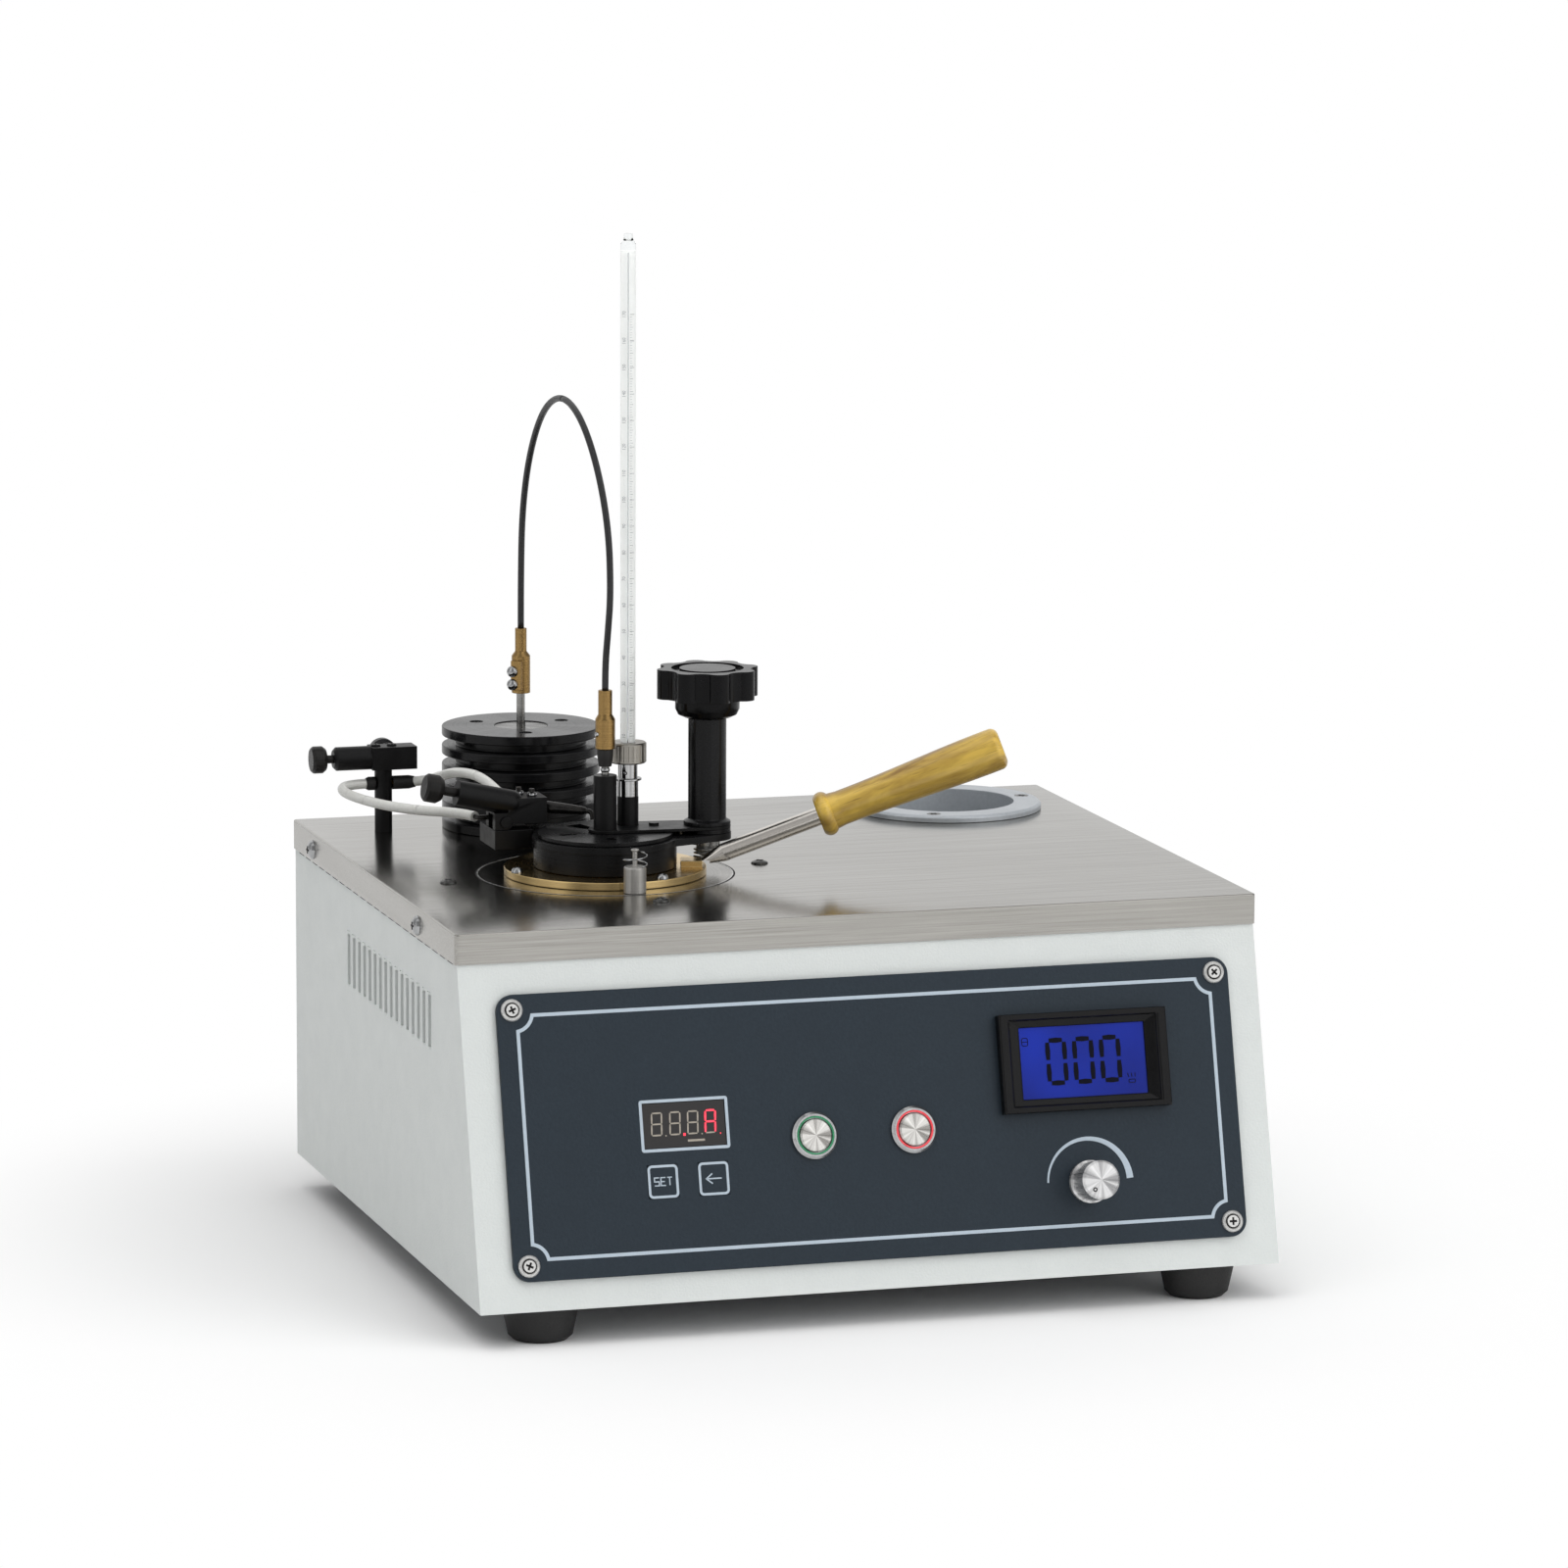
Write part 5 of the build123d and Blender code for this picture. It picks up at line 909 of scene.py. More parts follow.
def gathered(name, parts):
    """One mesh from placed copies; each part is its mesh, its place and the number of its material."""
    made = bmesh.new()
    for mesh, place, number in parts:
        before = len(made.faces)
        copy = mesh.copy()
        copy.transform(place)
        made.from_mesh(copy)
        bpy.data.meshes.remove(copy)
        made.faces.ensure_lookup_table()
        for side in made.faces[before:]:
            side.material_index = number
    mesh = bpy.data.meshes.new(name)
    made.to_mesh(mesh)
    made.free()
    return mesh


def at(x, y, z, turn=0.0):
    """A place in millimetres, turned about Z by degrees."""
    return Matrix.Translation((x / 1000, y / 1000, z / 1000)) @ Matrix.Rotation(math.radians(turn), 4, "Z")


def on_slope(x, s, out, turn=0.0):
    """A place on the panel whose Z points out of it."""
    return Matrix.Translation(on_panel(x, s, out)) @ Matrix.Rotation(math.pi / 2 - lean, 4, "X") @ Matrix.Rotation(
        math.radians(turn), 4, "Z")


# painted shade: a near-black finish for thin pieces laid where shade falls in recesses, slots and gaps
shadow, shadow_shader = new_finish("painted_recess_shade", (16, 16, 17), 0.8)
use(shadow, shadow_shader, handled, [("Colour", "Base Color"), ("Roughness", "Roughness")],
    Colour=linear((12, 12, 13)), Worn_Colour=linear((48, 47, 46)), Amount=0.7, Scale=500.0, Rough=0.8, Spread=0.1)

nickel, nickel_shader = new_finish("bright_nickel", (206, 206, 204), 0.3, Metallic=0.55)
use(nickel, nickel_shader, handled, [("Colour", "Base Color"), ("Roughness", "Roughness")],
    Colour=linear((222, 222, 220)), Worn_Colour=linear((124, 124, 124)), Amount=0.8, Scale=300.0, Rough=0.26, Spread=0.2)

# the panel's screws: a turned cup washer and a head with a cross cut through it; under the head a dark floor, painted
# shade, shows in the gap and through the cross
washer = turned_mesh("washer", [(4.25, 0.1), (4.25, 0.45), (3.75, 1.1), (3.3, 1.35), (2.95, 1.1), (2.75, 0.5), (2.75, 0.1), (4.25, 0.1)])
washer_shade_floor = turned_mesh("washer_shade_floor", [(0, 0.1), (2.8, 0.1), (2.8, 0.45), (0, 0.45)])
panel_head = flat_shape("panel_head", [ring_line(2.3), cross_line(1.5, 0.42)], 0.7)
placed = []
for k, (dx, ds) in enumerate(((-140.2, -48.2), (140.2, -48.2), (-140.2, 48.2), (140.2, 48.2))):
    here = on_slope(160.5 + dx, 66.4 + ds, 2.0, 20 + 23 * k)
    placed += [(washer, here, 0), (washer_shade_floor, here, 1), (panel_head, here @ Matrix.Translation((0, 0, 0.0006)), 0)]
ridden(piece("panel_screw_heads", gathered("panel_screw_heads", placed), nickel, shadow), "base",
       ["panel_screws"])

# the joint round the stove disc: a dark ring in the gap, painted shade, and inside it the disc's turned edge in
# brighter nickel, a painted glint
gap_shade_ring = turned_mesh("gap_shade_ring", [(50.3, 152.0), (51.0, 152.0), (51.0, 153.05), (50.3, 153.05), (50.3, 152.0)], 128)
painted_glint_ring = turned_mesh("painted_glint_ring", [(49.9, 152.6), (50.3, 152.6), (50.3, 153.12), (49.9, 153.08), (49.9, 152.6)], 128)
ridden(piece("disc_joint", gathered("disc_joint", [(gap_shade_ring, Matrix.Translation(cup_spot), 0),
                                                   (painted_glint_ring, Matrix.Translation(cup_spot), 1)]), shadow, nickel),
       "base")

# painted shade: dark crosses laid on the modelled heads of the deck, the motor, the cup rest and the skirt, where their
# cross recesses' shade falls
recess = flat_shape("recess", [cross_line(1.55, 0.4)], 0.1)
small_recess = flat_shape("small_recess", [cross_line(1.9, 0.42)], 0.08)


def around(x, y, z, radius, angles):
    return [at(x + radius * math.cos(math.radians(a)), y + radius * math.sin(math.radians(a)), z, 3.1 * a) for a in angles]


motor_x, motor_y, rest_x, rest_y = -74.1, 106.78, 105.5, 102.28
placed = [(recess, here, 0) for here in around(-70.6, -7.72, 154.23, 64.7, (-86, 4, 94, 184))]
placed += [(small_recess, here, 0) for here in around(motor_x, motor_y, 193.76, 20, (20, 140, 260))]
placed += [(recess, here, 0) for here in around(rest_x, rest_y, 155.85, 34, (4, 124, 244))]
for y in (-61.22, 111.08):
    placed += [(recess, Matrix.Translation((side * 0.1622, y / 1000, 0.1462)) @ Matrix.Rotation(side * math.pi / 2, 4, "Y"), 0)
               for side in (-1, 1)]
placed += [(recess, Matrix.Translation((side * 0.08, 0.14718, 0.1462)) @ Matrix.Rotation(-math.pi / 2, 4, "X"), 0)
           for side in (-1, 1)]
ridden(piece("screw_recesses", gathered("screw_recesses", placed), shadow), "base")

# ---- locating post ------------------------------------------------------------------------
# A turned stainless post that a notch in the lid meets. A pin stands in it, with a
# loose turn of spring wire round it.
post_steel = spun_finish("turned_post", (200, 198, 194), (128, 126, 123), Vector((-0.0711, -0.05232, 0)), painted_fan=0.5,
                         rough=0.36, spread=0.16, turn=spun_up, lines=2600.0, Metallic=0.75)
rounded(0.0003, post_steel, "locating_post")
wire_turn = [Vector((-0.0711 + 0.0047 * math.cos(a), -0.05232 + 0.0047 * math.sin(a), 0.1643 + 0.00055 * a))
             for a in (0.3 * k - 1.2 for k in range(29))]
wire_turn.append(wire_turn[-1] + Vector((0.0012, -0.0022, 0.0002)))
ridden(piece("post_spring", tube_mesh("post_spring", wire_turn, 0.00028, 8), chrome), "base")

# ---- stirrer motor ------------------------------------------------------------------------
# A cast housing with turned cooling fins, painted black and faced on the lathe, with a
# silver boss. A ground shaft comes out of it into a brass coupling.
motor_spot = Vector((motor_x / 1000, motor_y / 1000, 0))


# black turned parts: the lighter tone shows in the turned lines and in the painted reflection's streaks
def black_turned(name, centre, turn=spun_up, painted_fan=0.5, amount=0.6, worn_and_sheen=(40, 40, 42), rough=0.3, lines=1500.0, deep=(7, 7, 8),
                 **sockets):
    return spun_finish(name, deep, worn_and_sheen, centre, amount=amount, painted_fan=painted_fan, rough=rough, spread=0.25, turn=turn, lines=lines,
                       **{"Metallic": 0.0, "Specular_IOR_Level": 0.2, **sockets})


rounded(0.0007, black_turned("black_fins", motor_spot, painted_fan=0.3, amount=0.5, rough=0.2), "motor_housing", angle=40)
boss_alloy = spun_finish("boss_alloy", (138, 137, 134), (62, 61, 60), motor_spot, painted_fan=0.5, rough=0.25, turn=spun_up)
dressed(boss_alloy, "stirrer_motor")
ground_steel = spun_finish("ground_steel", (172, 171, 168), (92, 91, 90), motor_spot, painted_fan=0.3, rough=0.2, turn=spun_up)
dressed(ground_steel, "motor_drive_shaft")


def satin_brass(name, centre, turn=spun_up, colour=(176, 144, 92), dark=(100, 76, 42), rough=0.3, painted_fan=0.3):
    return spun_finish(name, colour, dark, centre, amount=0.75, painted_fan=painted_fan, rough=rough, spread=0.2, turn=turn, lines=2200.0)


rounded(0.00025, satin_brass("motor_brass", motor_spot), "motor_coupling")
dome = turned_mesh("dome", [(2.35, -0.6), (2.35, 0.5), (2.1, 1.2), (1.5, 1.8), (0.75, 2.1), (0, 2.17)], 28)
ear_out = Matrix.Rotation(math.radians(-148), 4, "Z") @ Matrix.Rotation(math.pi / 2, 4, "Y")
# domed screws on the coupling; the dark cross on each is painted shade of its recess
placed = []
for z in (211.3, 216.6):
    here = at(motor_x, motor_y, z) @ ear_out @ Matrix.Translation((0, 0, 0.0049))
    placed += [(dome, here, 0), (flat_shape("notch", [cross_line(0.95, 0.2)], 0.1), here @ Matrix.Translation((0, 0, 0.002)), 1)]
ridden(piece("coupling_screws", gathered("coupling_screws", placed), chrome, shadow), "motor_rotor")

# ---- gas post -----------------------------------------------------------------------------
# A black anodised post carries the valve block. Its two knurled knobs open the jets,
# and each brass barb feeds one hose.
black_satin, black_satin_shader = new_finish("black_satin", (9, 9, 10), 0.36, Specular_IOR_Level=0.18)
use(black_satin, black_satin_shader, handled, full_links, depth=0.00005, Colour=linear((7, 7, 8)), Worn_Colour=linear((42, 42, 42)),
    Amount=0.6, Scale=140.0, Rough=0.36, Spread=0.3)
rounded(0.0003, black_satin, "gas_post", "gas_head")
rounded(0.0002, black_turned("front_knob_black", Vector((-0.1311, 0.10878, 0.1826)), turn=(0, math.pi / 2, 0), worn_and_sheen=(56, 54, 52)),
        "front_gas_knob")
rounded(0.0002, black_turned("rear_knob_black", Vector((-0.1311, 0.10878, 0.1826)), turn=(math.pi / 2, 0, 0)),
        "rear_gas_knob")
raw_brass, raw_brass_shader = new_finish("raw_brass", (186, 146, 80), 0.3, Metallic=1.0)
use(raw_brass, raw_brass_shader, handled, full_links, depth=0.00005, Colour=linear((196, 156, 86)), Worn_Colour=linear((112, 82, 40)),
    Amount=1.1, Scale=260.0, Rough=0.28, Spread=0.3)
dressed(raw_brass, "gas_barbs")
# black sleeves hold the hoses on their barbs, and taper to the hose
sleeve_long, sleeve_short = (turned_mesh("hose_sleeve", [(2.08, 0), (2.75, 0), (2.75, 0.72 * size), (2.2, size), (2.08, size), (2.08, 0)], 28)
                             for size in (9.5, 3.6))
hose_ends = [(sleeve_long, at(-127.4, 108.78, 172.6) @ Matrix.Rotation(math.pi / 2, 4, "Y"), 0),
             (sleeve_short, at(-134.8, 108.78, 172.6) @ Matrix.Rotation(-math.pi / 2, 4, "Y"), 0)]
ridden(piece("hose_sleeves", gathered("hose_sleeves", hose_ends), rubber), "base")
# slotted screws on the valve head; the dark slot on each is painted shade
head_screw = turned_mesh("head_screw", [(2.0, 0), (2.0, 0.35), (1.6, 0.75), (0, 0.85)], 28)
head_slot = flat_shape("head_slot", [[(-1.5, -0.25), (1.5, -0.25), (1.5, 0.25), (-1.5, 0.25)]], 0.1)
placed = []
for x, y in ((-134.2, 108.8), (-127.6, 108.8)):
    here = at(x, y, 187.8, 35 + x)
    placed += [(head_screw, here, 0), (head_slot, here @ Matrix.Translation((0, 0, 0.0008)), 1)]
ridden(piece("valve_screws", gathered("valve_screws", placed), black_satin, shadow), "base")

# ---- cup rest -----------------------------------------------------------------------------
# A pressed well with a flat lip, painted silver grey, that takes the hot cup.
rest_paint, rest_shader = new_finish("silver_paint", (172, 177, 182), 0.36, Metallic=0.35)
use(rest_paint, rest_shader, handled, full_links, depth=0.00005, Colour=linear((186, 191, 196)), Worn_Colour=linear((140, 145, 150)),
    Amount=0.9, Scale=70.0, Rough=0.34, Spread=0.2)
rounded(0.0004, rest_paint, "cup_rest")

# ---- test cup -----------------------------------------------------------------------------
# The cup is turned from brass, and its flange is polished. A steel tube, flattened at
# its foot, is brazed to a lug on the flange, and a turned wooden grip is driven on it.
flange_brass = satin_brass("polished_flange", cup_spot, colour=(240, 212, 154), dark=(206, 172, 112), rough=0.24, painted_fan=0.3)
rounded(0.0003, flange_brass, "test_cup")
handle_frame = Matrix.Rotation(math.radians(-15), 3, "Z") @ Matrix.Rotation(math.radians(69), 3, "Y")
handle_spot = cup_spot + Matrix.Rotation(math.radians(-15), 3, "Z") @ Vector((0.038, 0, 0)) + Vector((0, 0, 0.1579))
handle_turn = handle_frame.to_euler()
# the tube's light and dark streaks round its girth are painted reflection
tube_steel = spun_finish("handle_steel", (232, 227, 220), (196, 191, 184), handle_spot, amount=0.5, painted_fan=0.4, rough=0.25,
                         spread=0.15, turn=handle_turn, lines=900.0)
dressed(tube_steel, "handle_tube")

# round-head screws on the flange
round_head = turned_mesh("round_head", [(2.3, 0), (2.35, 0.5), (2.15, 1.2), (1.6, 1.8), (0.8, 2.1), (0, 2.2)], 28)
stud = turned_mesh("stud", [(1.0, -0.2), (1.0, 0.1), (0.9, 0.1), (0.9, 3.3), (0.7, 3.5), (0, 3.5)], 20)
placed = []
# the dark cross on each head is painted shade of its recess
for x, y in ((13.4, -35.0), (-37.4, -6.6)):
    here = at(-70.6 + x, -7.72 + y, 156.05, 31)
    placed += [(round_head, here, 0),
               (flat_shape("nick", [cross_line(1.0, 0.22)], 0.1), here @ Matrix.Translation((0, 0, 0.00212)), 1)]
ridden(piece("flange_screws", gathered("flange_screws", placed), chrome, shadow), "cup")

# the grip: varnished beech, its grain along it, with darker streaks and short pores
wood, ends_in, ends_out = group_of(
    "wood_grain",
    [("Centre", "Vector", (0, 0, 0)), ("Turn", "Vector", (0, 0, 0)), ("Light", "Color", (0.5, 0.3, 0.1, 1)),
     ("Dark", "Color", (0.3, 0.15, 0.04, 1)), ("Pore", "Color", (0.12, 0.06, 0.02, 1))],
    [("Colour", "Color"), ("Roughness", "Float"), ("Height", "Float")])
place, local = add(wood, "TexCoord"), add(wood, "Mapping", vector_type="TEXTURE")
long_way, fine_way = add(wood, "Mapping", Scale=(110, 110, 22)), add(wood, "Mapping", Scale=(1500, 1500, 70))
figure = add(wood, "TexNoise", Scale=1.0, Detail=4.0, Roughness=0.6, Distortion=0.6)
streak = add(wood, "TexNoise", Scale=1.0, Detail=2.0, Roughness=0.6)
blotch = add(wood, "TexNoise", Scale=60.0, Detail=2.0)
wide = add(wood, "MapRange")
wide.inputs["From Min"].default_value, wide.inputs["From Max"].default_value = 0.36, 0.66
pores = add(wood, "MapRange")
pores.inputs["From Min"].default_value, pores.inputs["From Max"].default_value = 0.6, 0.74
some = add(wood, "Math", operation="MULTIPLY")
tone, pored = add(wood, "Mix", data_type="RGBA"), add(wood, "Mix", data_type="RGBA")
gloss = add(wood, "Math", operation="MULTIPLY_ADD")
gloss.inputs[1].default_value, gloss.inputs[2].default_value = 0.2, 0.28
wire(wood, (place.outputs["Object"], local.inputs["Vector"]), (ends_in.outputs["Centre"], local.inputs["Location"]),
     (ends_in.outputs["Turn"], local.inputs["Rotation"]), (local.outputs[0], long_way.inputs["Vector"]),
     (local.outputs[0], fine_way.inputs["Vector"]), (long_way.outputs[0], figure.inputs["Vector"]),
     (fine_way.outputs[0], streak.inputs["Vector"]), (place.outputs["Object"], blotch.inputs["Vector"]),
     (figure.outputs["Fac"], wide.inputs["Value"]), (streak.outputs["Fac"], pores.inputs["Value"]),
     (pores.outputs[0], some.inputs[0]), (blotch.outputs["Fac"], some.inputs[1]), (wide.outputs[0], tone.inputs["Factor"]),
     (ends_in.outputs["Light"], tone.inputs["A"]), (ends_in.outputs["Dark"], tone.inputs["B"]),
     (some.outputs[0], pored.inputs["Factor"]), (tone.outputs["Result"], pored.inputs["A"]),
     (ends_in.outputs["Pore"], pored.inputs["B"]), (pored.outputs["Result"], ends_out.inputs["Colour"]),
     (blotch.outputs["Fac"], gloss.inputs[0]), (gloss.outputs[0], ends_out.inputs["Roughness"]),
     (streak.outputs["Fac"], ends_out.inputs["Height"]))
varnish, varnish_shader = new_finish("varnished_beech", (184, 138, 56), 0.35, Coat_Weight=0.55, Coat_Roughness=0.12)
use(varnish, varnish_shader, wood, full_links, depth=0.00006, Centre=handle_spot, Turn=handle_turn,
    Light=linear((216, 180, 74)), Dark=linear((136, 102, 34)), Pore=linear((84, 58, 18)))
dressed(varnish, "handle_grip")

# ---- lid ------------------------------------------------------------------------------------
# Turned and milled brass, black anodised all over: the cover with its openings, the
# guide tubes, the bridge and the column, and a shutter that turns between them.
lid_black = black_turned("lid_black", cup_spot, painted_fan=0.45, amount=0.5, worn_and_sheen=(36, 36, 37), rough=0.3)
rounded(0.0003, lid_black, "lid_body", "shutter_plate")
rounded(0.00025, black_satin, "guide_tubes", "lid_bridge")
column_black = black_turned("column_black", cup_spot + Vector((0.0416, 0, 0)), painted_fan=0.5, amount=0.45, rough=0.24)
rounded(0.0004, column_black, "knob_column")

# polished gland with its neck, and the nut that grips the thermometer
collar_spot = cup_spot + Vector((0.0112, 0.007, 0))
# the gland's strong light and dark streaks are painted reflection on polished steel
rounded(0.0002, spun_finish("polished_gland", (206, 206, 206), (70, 70, 72), collar_spot, painted_fan=0.8, rough=0.1, spread=0.12,
                            turn=spun_up), "thermometer_gland")
rounded(0.00018, spun_finish("nut_nickel", (186, 182, 174), (116, 112, 105), collar_spot, painted_fan=0.35, rough=0.34, turn=spun_up,
                             lines=1400.0), "thermometer_nut")
pin_head = turned_mesh("pin_head", [(0.75, 0), (0.75, 0.5), (0.5, 0.9), (0, 1.0)], 16)
neck_side = Matrix.Rotation(math.radians(-120), 4, "Z") @ Matrix.Rotation(math.pi / 2, 4, "Y")
here = at(-70.6 + 11.2, -7.72 + 7.0, 191.6) @ neck_side @ Matrix.Translation((0, 0, 0.0037))
ridden(piece("gland_pin", gathered("gland_pin", [(pin_head, here, 0)]), chrome), "lid")

# ---- star knob ------------------------------------------------------------------------------
# Moulded phenolic with eight shallow lobes and a polished cap let into its top, painted grey with lighter streaks as
# its reflection.
phenolic, phenolic_shader = new_finish("gloss_phenolic", (8, 8, 9), 0.2, Specular_IOR_Level=0.14)
use(phenolic, phenolic_shader, handled, full_links, depth=0.00004, Colour=linear((6, 6, 7)), Worn_Colour=linear((30, 30, 32)),
    Amount=0.5, Scale=120.0, Rough=0.18, Spread=0.2)
rounded(0.0009, phenolic, "star_knob", angle=40, segments=3)
column_spot = cup_spot + Vector((0.0416, 0, 0))
# painted reflection: the cap is grey with lighter streaks, as a polished top reflects the room
cap_painted_sheen = black_turned("knob_cap_painted_sheen", column_spot, painted_fan=0.7, amount=0.8, worn_and_sheen=(150, 151, 153), deep=(64, 65, 67), rough=0.18)
cap = turned_mesh("knob_cap", [(0, 231.6), (10.4, 231.6), (10.8, 231.9), (10.8, 232.5), (10.3, 232.78), (0, 232.78)], 48)
ridden(piece("knob_cap", gathered("knob_cap", [(cap, at(-29.0, -7.72, 0), 0)]), cap_painted_sheen), "knob")
dressed(nickel, "knob_shaft")
dressed(nickel, "return_spring")

# ---- thermometer ----------------------------------------------------------------------------
# Drawn glass with a white strip and a mercury thread in it. The scale's fine marks and
# small numbers lie in front of the strip, and face the operator.
glass, glass_shader = new_finish("clear_glass", (250, 252, 252), 0.03, Transmission_Weight=1.0, IOR=1.47)
use(glass, glass_shader, handled, [("Colour", "Base Color"), ("Roughness", "Roughness")],
    Colour=linear((250, 252, 252)), Worn_Colour=linear((232, 238, 238)), Amount=0.5, Scale=60.0, Rough=0.04, Spread=0.06)
# a lamp's light goes straight through the glass, so the strip in it stays white
glass_tree = glass.node_tree
ray_kind, straight, either = (add(glass_tree, kind) for kind in ("LightPath", "BsdfTransparent", "MixShader"))
wire(glass_tree, (ray_kind.outputs["Is Shadow Ray"], either.inputs["Fac"]), (glass_shader.outputs[0], either.inputs[1]),
     (straight.outputs[0], either.inputs[2]), (either.outputs[0], glass_tree.nodes["Material Output"].inputs["Surface"]))
dressed(glass, "thermometer")
to_reader = Matrix.Translation(collar_spot) @ Matrix.Rotation(-yaw, 4, "Z")
scale_low, scale_high = 0.206, 0.372


def inner_bar(across, front, z, wide, thick, high):
    """A slim bar inside the rod; across and front are from its axis, towards the reader."""
    made = bmesh.new()
    bmesh.ops.create_cube(made, size=1.0, matrix=to_reader @ Matrix.Translation((across / 1000, -front / 1000, z)) @ Matrix.Diagonal(
        (wide / 1000, thick / 1000, high, 1)))
    mesh = bpy.data.meshes.new("bar")
    made.to_mesh(mesh)
    made.free()
    return mesh


milk, milk_shader = new_finish("milk_strip", (244, 244, 240), 0.5)
use(milk, milk_shader, handled, [("Colour", "Base Color"), ("Roughness", "Roughness")],
    Colour=linear((252, 252, 250)), Worn_Colour=linear((238, 238, 236)), Amount=0.6, Scale=80.0, Rough=0.5, Spread=0.1)
mercury, mercury_shader = new_finish("mercury", (196, 198, 202), 0.15, Metallic=1.0)
use(mercury, mercury_shader, handled, [("Colour", "Base Color"), ("Roughness", "Roughness")],
    Colour=linear((198, 200, 203)), Worn_Colour=linear((150, 152, 156)), Amount=0.8, Scale=400.0, Rough=0.14, Spread=0.1)
ridden(piece("milk_strip", inner_bar(0, -0.9, 0.2975, 3.7, 0.35, 0.199), milk), "thermometer")
thread = gathered("thread", [(inner_bar(0, 0.1, 0.266, 0.26, 0.24, 0.26), Matrix(), 0),
                             (turned_mesh("bulb", [(0, 121.4), (1.1, 121.4), (1.8, 122.4), (1.8, 129.8), (0.4, 131.6),
                                                   (0.2, 136.2)], 20), Matrix.Translation(collar_spot), 0)])
ridden(piece("mercury_thread", thread, mercury), "thermometer")
mark_ink, mark_shader = new_finish("scale_ink", (70, 72, 76), 0.6)
use(mark_ink, mark_shader, handled, [("Colour", "Base Color"), ("Roughness", "Roughness")],
    Colour=linear((140, 142, 145)), Worn_Colour=linear((190, 191, 193)), Amount=0.8, Scale=500.0, Rough=0.6, Spread=0.1)
ruler = (0, 0, -yaw)
for name, count, first, wide, high in (("degree_marks", 166, 0.9, 0.7, 0.00011), ("five_marks", 34, 1.05, 1.0, 0.00016),
                                       ("ten_marks", 17, 1.25, 1.4, 0.0002)):
    start_at = to_reader @ Vector((first / 1000, -0.0008, scale_low))
    grown(name, bar_row, mark_ink, "thermometer", "black_rubber", Count=count, First=tuple(start_at),
          Step=(0, 0, (scale_high - scale_low) / (count - 1)), Bar=(wide / 1000, 0.00008, high), Turn=ruler)


def lettering(words, high):
    """Plain figures, a text made a mesh before it is placed; they lie in XY and face +Z."""
    text = bpy.data.curves.new("figures", "FONT")
    text.body, text.size, text.extrude = words, high / 1000 * 1.4, 0.00003
    text.align_x, text.align_y, text.resolution_u = "CENTER", "CENTER", 2
    holder = bpy.data.objects.new("figures", text)
    scene.collection.objects.link(holder)
    bpy.context.view_layer.update()
    mesh = bpy.data.meshes.new_from_object(holder.evaluated_get(bpy.context.evaluated_depsgraph_get()))
    mesh.materials.clear()
    bpy.data.objects.remove(holder)
    bpy.data.curves.remove(text)
    return mesh


figures = []
for k in range(17):
    z = scale_low + (scale_high - scale_low) * k / 16
    upright = to_reader @ Matrix.Translation((-0.00125, -0.0008, z)) @ Matrix.Rotation(math.pi / 2, 4, "X") @ Matrix.Rotation(
        math.pi / 2, 4, "Z")
    figures.append((lettering(str(10 * (k + 1)), 1.25), upright, 0))
ridden(piece("scale_figures", gathered("scale_figures", figures), mark_ink), "thermometer")

# ---- stirrer ----------------------------------------------------------------------------------
# A ground shaft with two sets of blades. Over the guide tube it carries a small ball, a
# black bush and a brass coupling that is clamped on the flexible shaft.
dressed(ground_steel, "stirrer_shaft")
rounded(0.0003, satin_brass("stirrer_brass", cup_spot), "stirrer_coupling")
bush_black, bush_shader = new_finish("bush_black", (16, 16, 17), 0.6)
use(bush_black, bush_shader, handled, full_links, depth=0.00005, Colour=linear((12, 12, 13)), Worn_Colour=linear((58, 56, 54)),
    Amount=0.7, Scale=260.0, Rough=0.55, Spread=0.3)
rounded(0.0003, bush_black, "coupling_socket")
ball = turned_mesh("ball", [(0, 192.5), (1.1, 192.7), (1.75, 193.5), (1.9, 194.2), (1.6, 194.95), (1.0, 195.3), (0, 195.36)], 24)
grub = turned_mesh("grub", [(0.95, 0), (1.0, 0.4), (0.75, 0.9), (0, 1.05)], 20)
towards = Matrix.Rotation(math.radians(-160), 4, "Z") @ Matrix.Rotation(math.pi / 2, 4, "Y")
clamp_spots = [(grub, at(-70.6, -7.72, 208.4) @ towards @ Matrix.Translation((0, 0, 0.0037)), 0)]
ridden(piece("stirrer_fittings", gathered("stirrer_fittings", [(ball, Matrix.Translation(cup_spot), 0)] + clamp_spots), chrome),
       "stirrer")

# ---- burner -----------------------------------------------------------------------------------
# A milled block on the lid's shoulder carries a rocker with its valve. Knurled jets
# stand on top, and a black tube leads to the tip over the front opening.
rounded(0.0003, black_satin, "burner_base", "burner_rocker")
valve_spot = cup_spot + Vector((-0.032, 0.0238, 0.1786))
valve_turn = (Matrix.Rotation(math.radians(12.4), 3, "Y") @ Matrix.Rotation(-math.pi / 2, 3, "Y")).to_euler()
rounded(0.0003, black_turned("valve_knob_black", valve_spot, turn=valve_turn, worn_and_sheen=(52, 50, 48), rough=0.42),
        "burner_valve_knob")
blued, blued_shader = new_finish("blued_steel", (70, 68, 66), 0.28, Metallic=0.9)
use(blued, blued_shader, handled, full_links, depth=0.00005, Colour=linear((30, 30, 31)), Worn_Colour=linear((104, 101, 97)),
    Amount=0.8, Scale=420.0, Rough=0.26, Spread=0.3)
dressed(blued, "burner_nozzles")
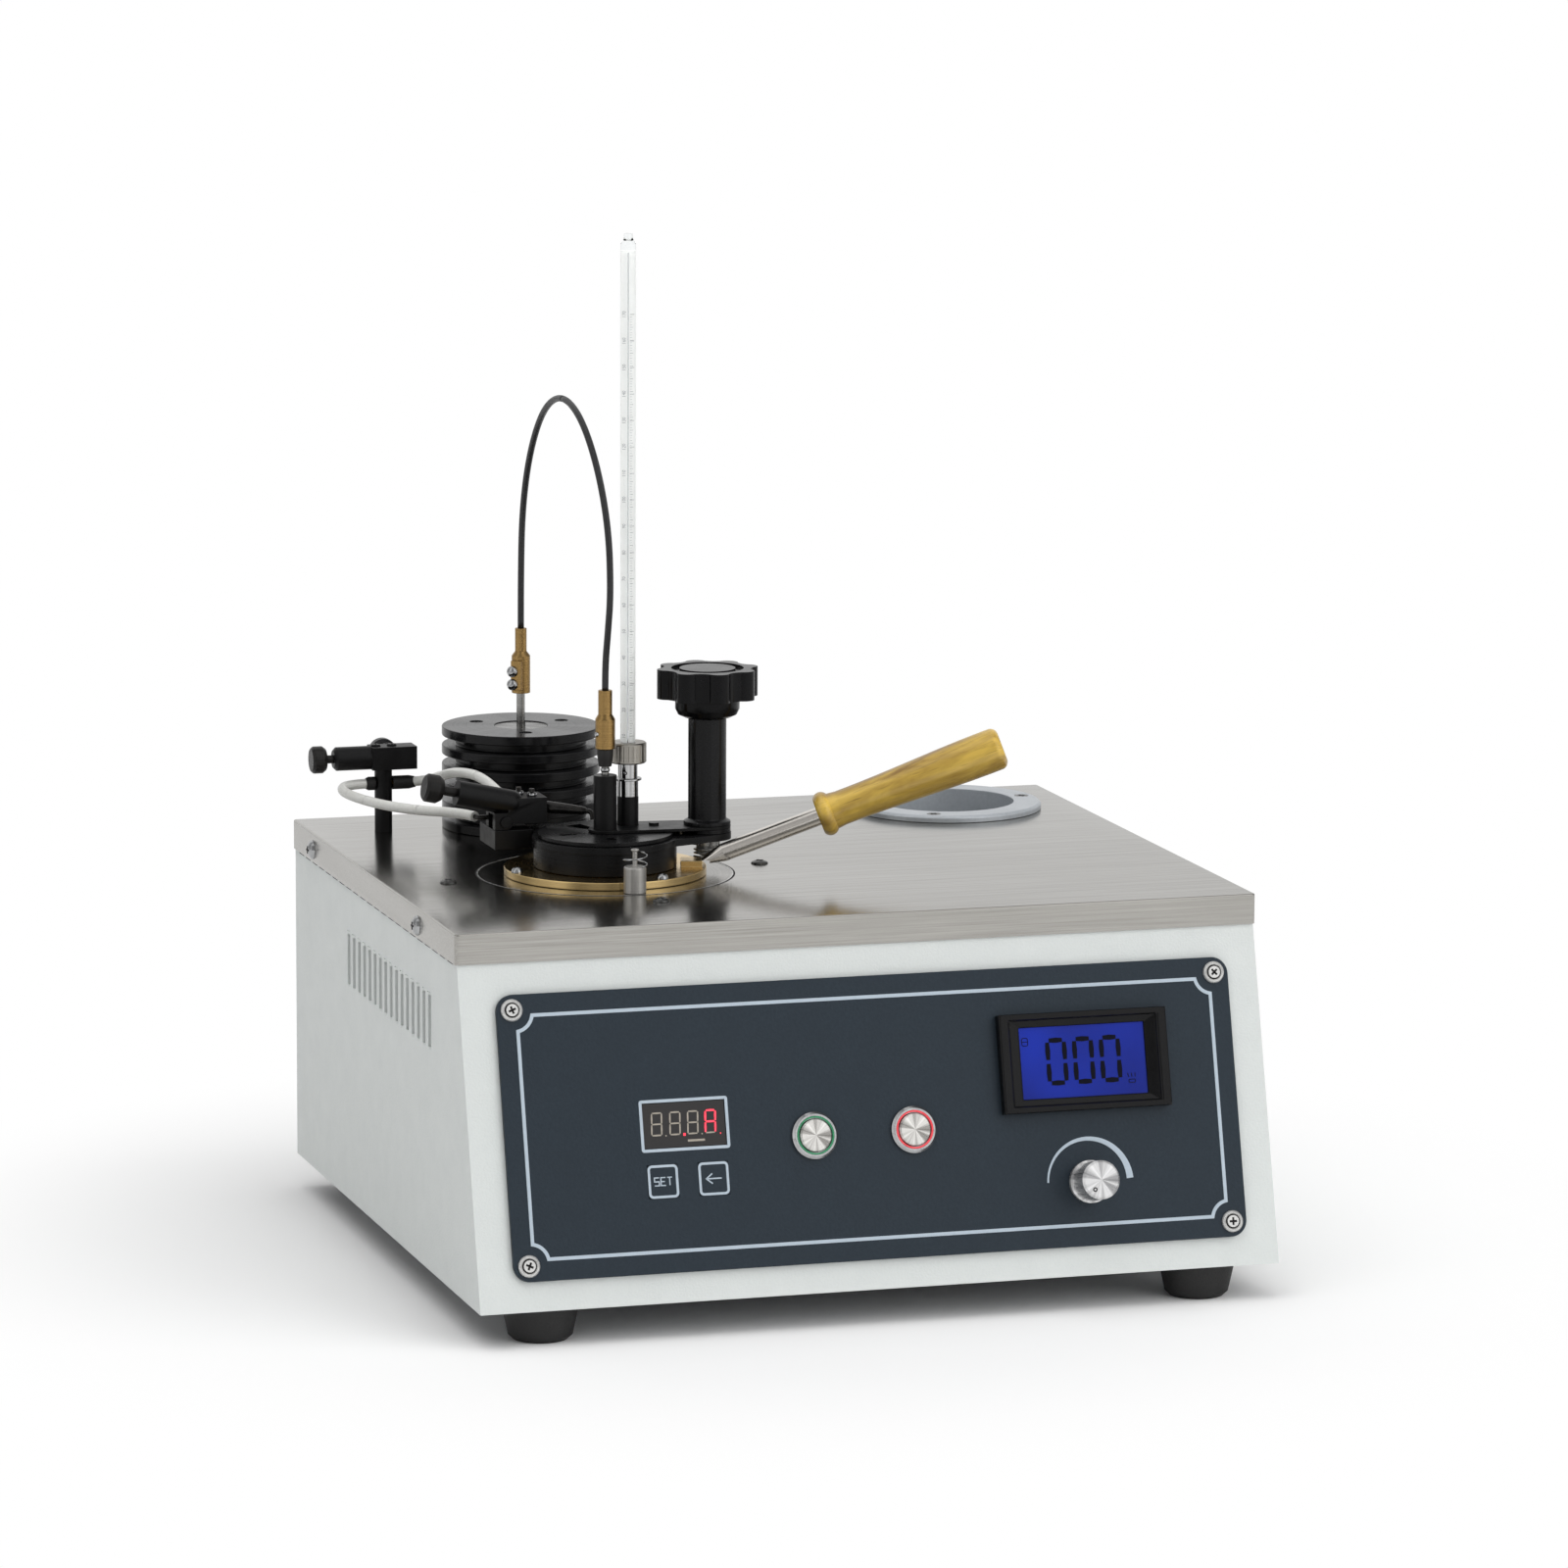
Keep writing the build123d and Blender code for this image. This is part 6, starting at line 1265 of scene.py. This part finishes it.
# a stouter sleeve stiffens the gas tube from the rocker to its bend
tube_foot, tube_bend = Vector((-0.0904, 0.01768, 0.1762)), Vector((-0.0723, 0.00618, 0.1753))
sleeve_at = Matrix.Translation(tube_foot) @ (tube_bend - tube_foot).to_track_quat("Z", "Y").to_matrix().to_4x4()
tube_sleeve = turned_mesh("tube_sleeve", [(1.02, 1.9), (2.5, 1.9), (2.4, 6.0), (2.0, 13.0), (1.6, 18.0), (1.1, 19.2), (1.02, 19.2),
                                          (1.02, 1.9)], 32)
ridden(piece("tube_sleeve", gathered("tube_sleeve", [(tube_sleeve, sleeve_at, 0)]), blued), "burner")
spring_ring = turned_mesh("jet_nut", [(1.0, 0), (1.95, 0), (2.05, 0.3), (2.05, 1.0), (1.95, 1.3), (1.0, 1.3)], 10)
nuts = [(spring_ring, at(-70.6 - 18.3 - dx, -7.72 + 19.5 + dy, 180.72, 11 * dx), 0) for dx, dy in ((9.0, 9.5), (5.0, 4.5))]
ridden(piece("jet_nuts", gathered("jet_nuts", nuts), chrome), "burner")

# ---- rear and inside ----------------------------------------------------------------------------
# A moulded power inlet at the back. Under the deck are the stove's cast body in its
# mineral wool, a transformer and a control board.
inlet_black, inlet_shader = new_finish("inlet_black", (20, 20, 21), 0.45)
use(inlet_black, inlet_shader, handled, full_links, depth=0.00005, Colour=linear((18, 18, 19)), Worn_Colour=linear((50, 50, 51)),
    Amount=0.6, Scale=180.0, Rough=0.45, Spread=0.2)
cast, cast_shader = new_finish("cast_body", (92, 92, 94), 0.6, Metallic=0.6)
use(cast, cast_shader, handled, full_links, depth=0.0003, Colour=linear((100, 100, 102)), Worn_Colour=linear((56, 56, 58)),
    Amount=1.2, Scale=240.0, Rough=0.6, Spread=0.3)
wool, wool_shader = new_finish("mineral_wool", (206, 196, 168), 0.95)
use(wool, wool_shader, handled, full_links, depth=0.0012, Colour=linear((214, 204, 176)), Worn_Colour=linear((164, 150, 118)),
    Amount=1.3, Scale=190.0, Rough=0.93, Spread=0.1)
winding, winding_shader = new_finish("copper_winding", (170, 96, 52), 0.35, Metallic=0.9)
use(winding, winding_shader, brushed, full_links, depth=0.0001, Colour=linear((190, 108, 62)), Dark_Colour=linear((96, 46, 24)),
    Amount=0.9, Stretch=(60, 60, 2200), Rough=0.34, Spread=0.2, Cloud=30.0)
laminate, laminate_shader = new_finish("board_laminate", (28, 84, 48), 0.4)
use(laminate, laminate_shader, brushed, [("Colour", "Base Color"), ("Roughness", "Roughness")], Colour=linear((32, 96, 54)),
    Dark_Colour=linear((16, 60, 34)), Amount=0.9, Stretch=(300, 60, 60), Rough=0.4, Spread=0.15, Cloud=50.0)
dressed(inlet_black, "power_inlet")
dressed(cast, "stove_body")
dressed(wool, "insulation_jacket")
dressed(winding, "transformer")
dressed(laminate, "control_board")
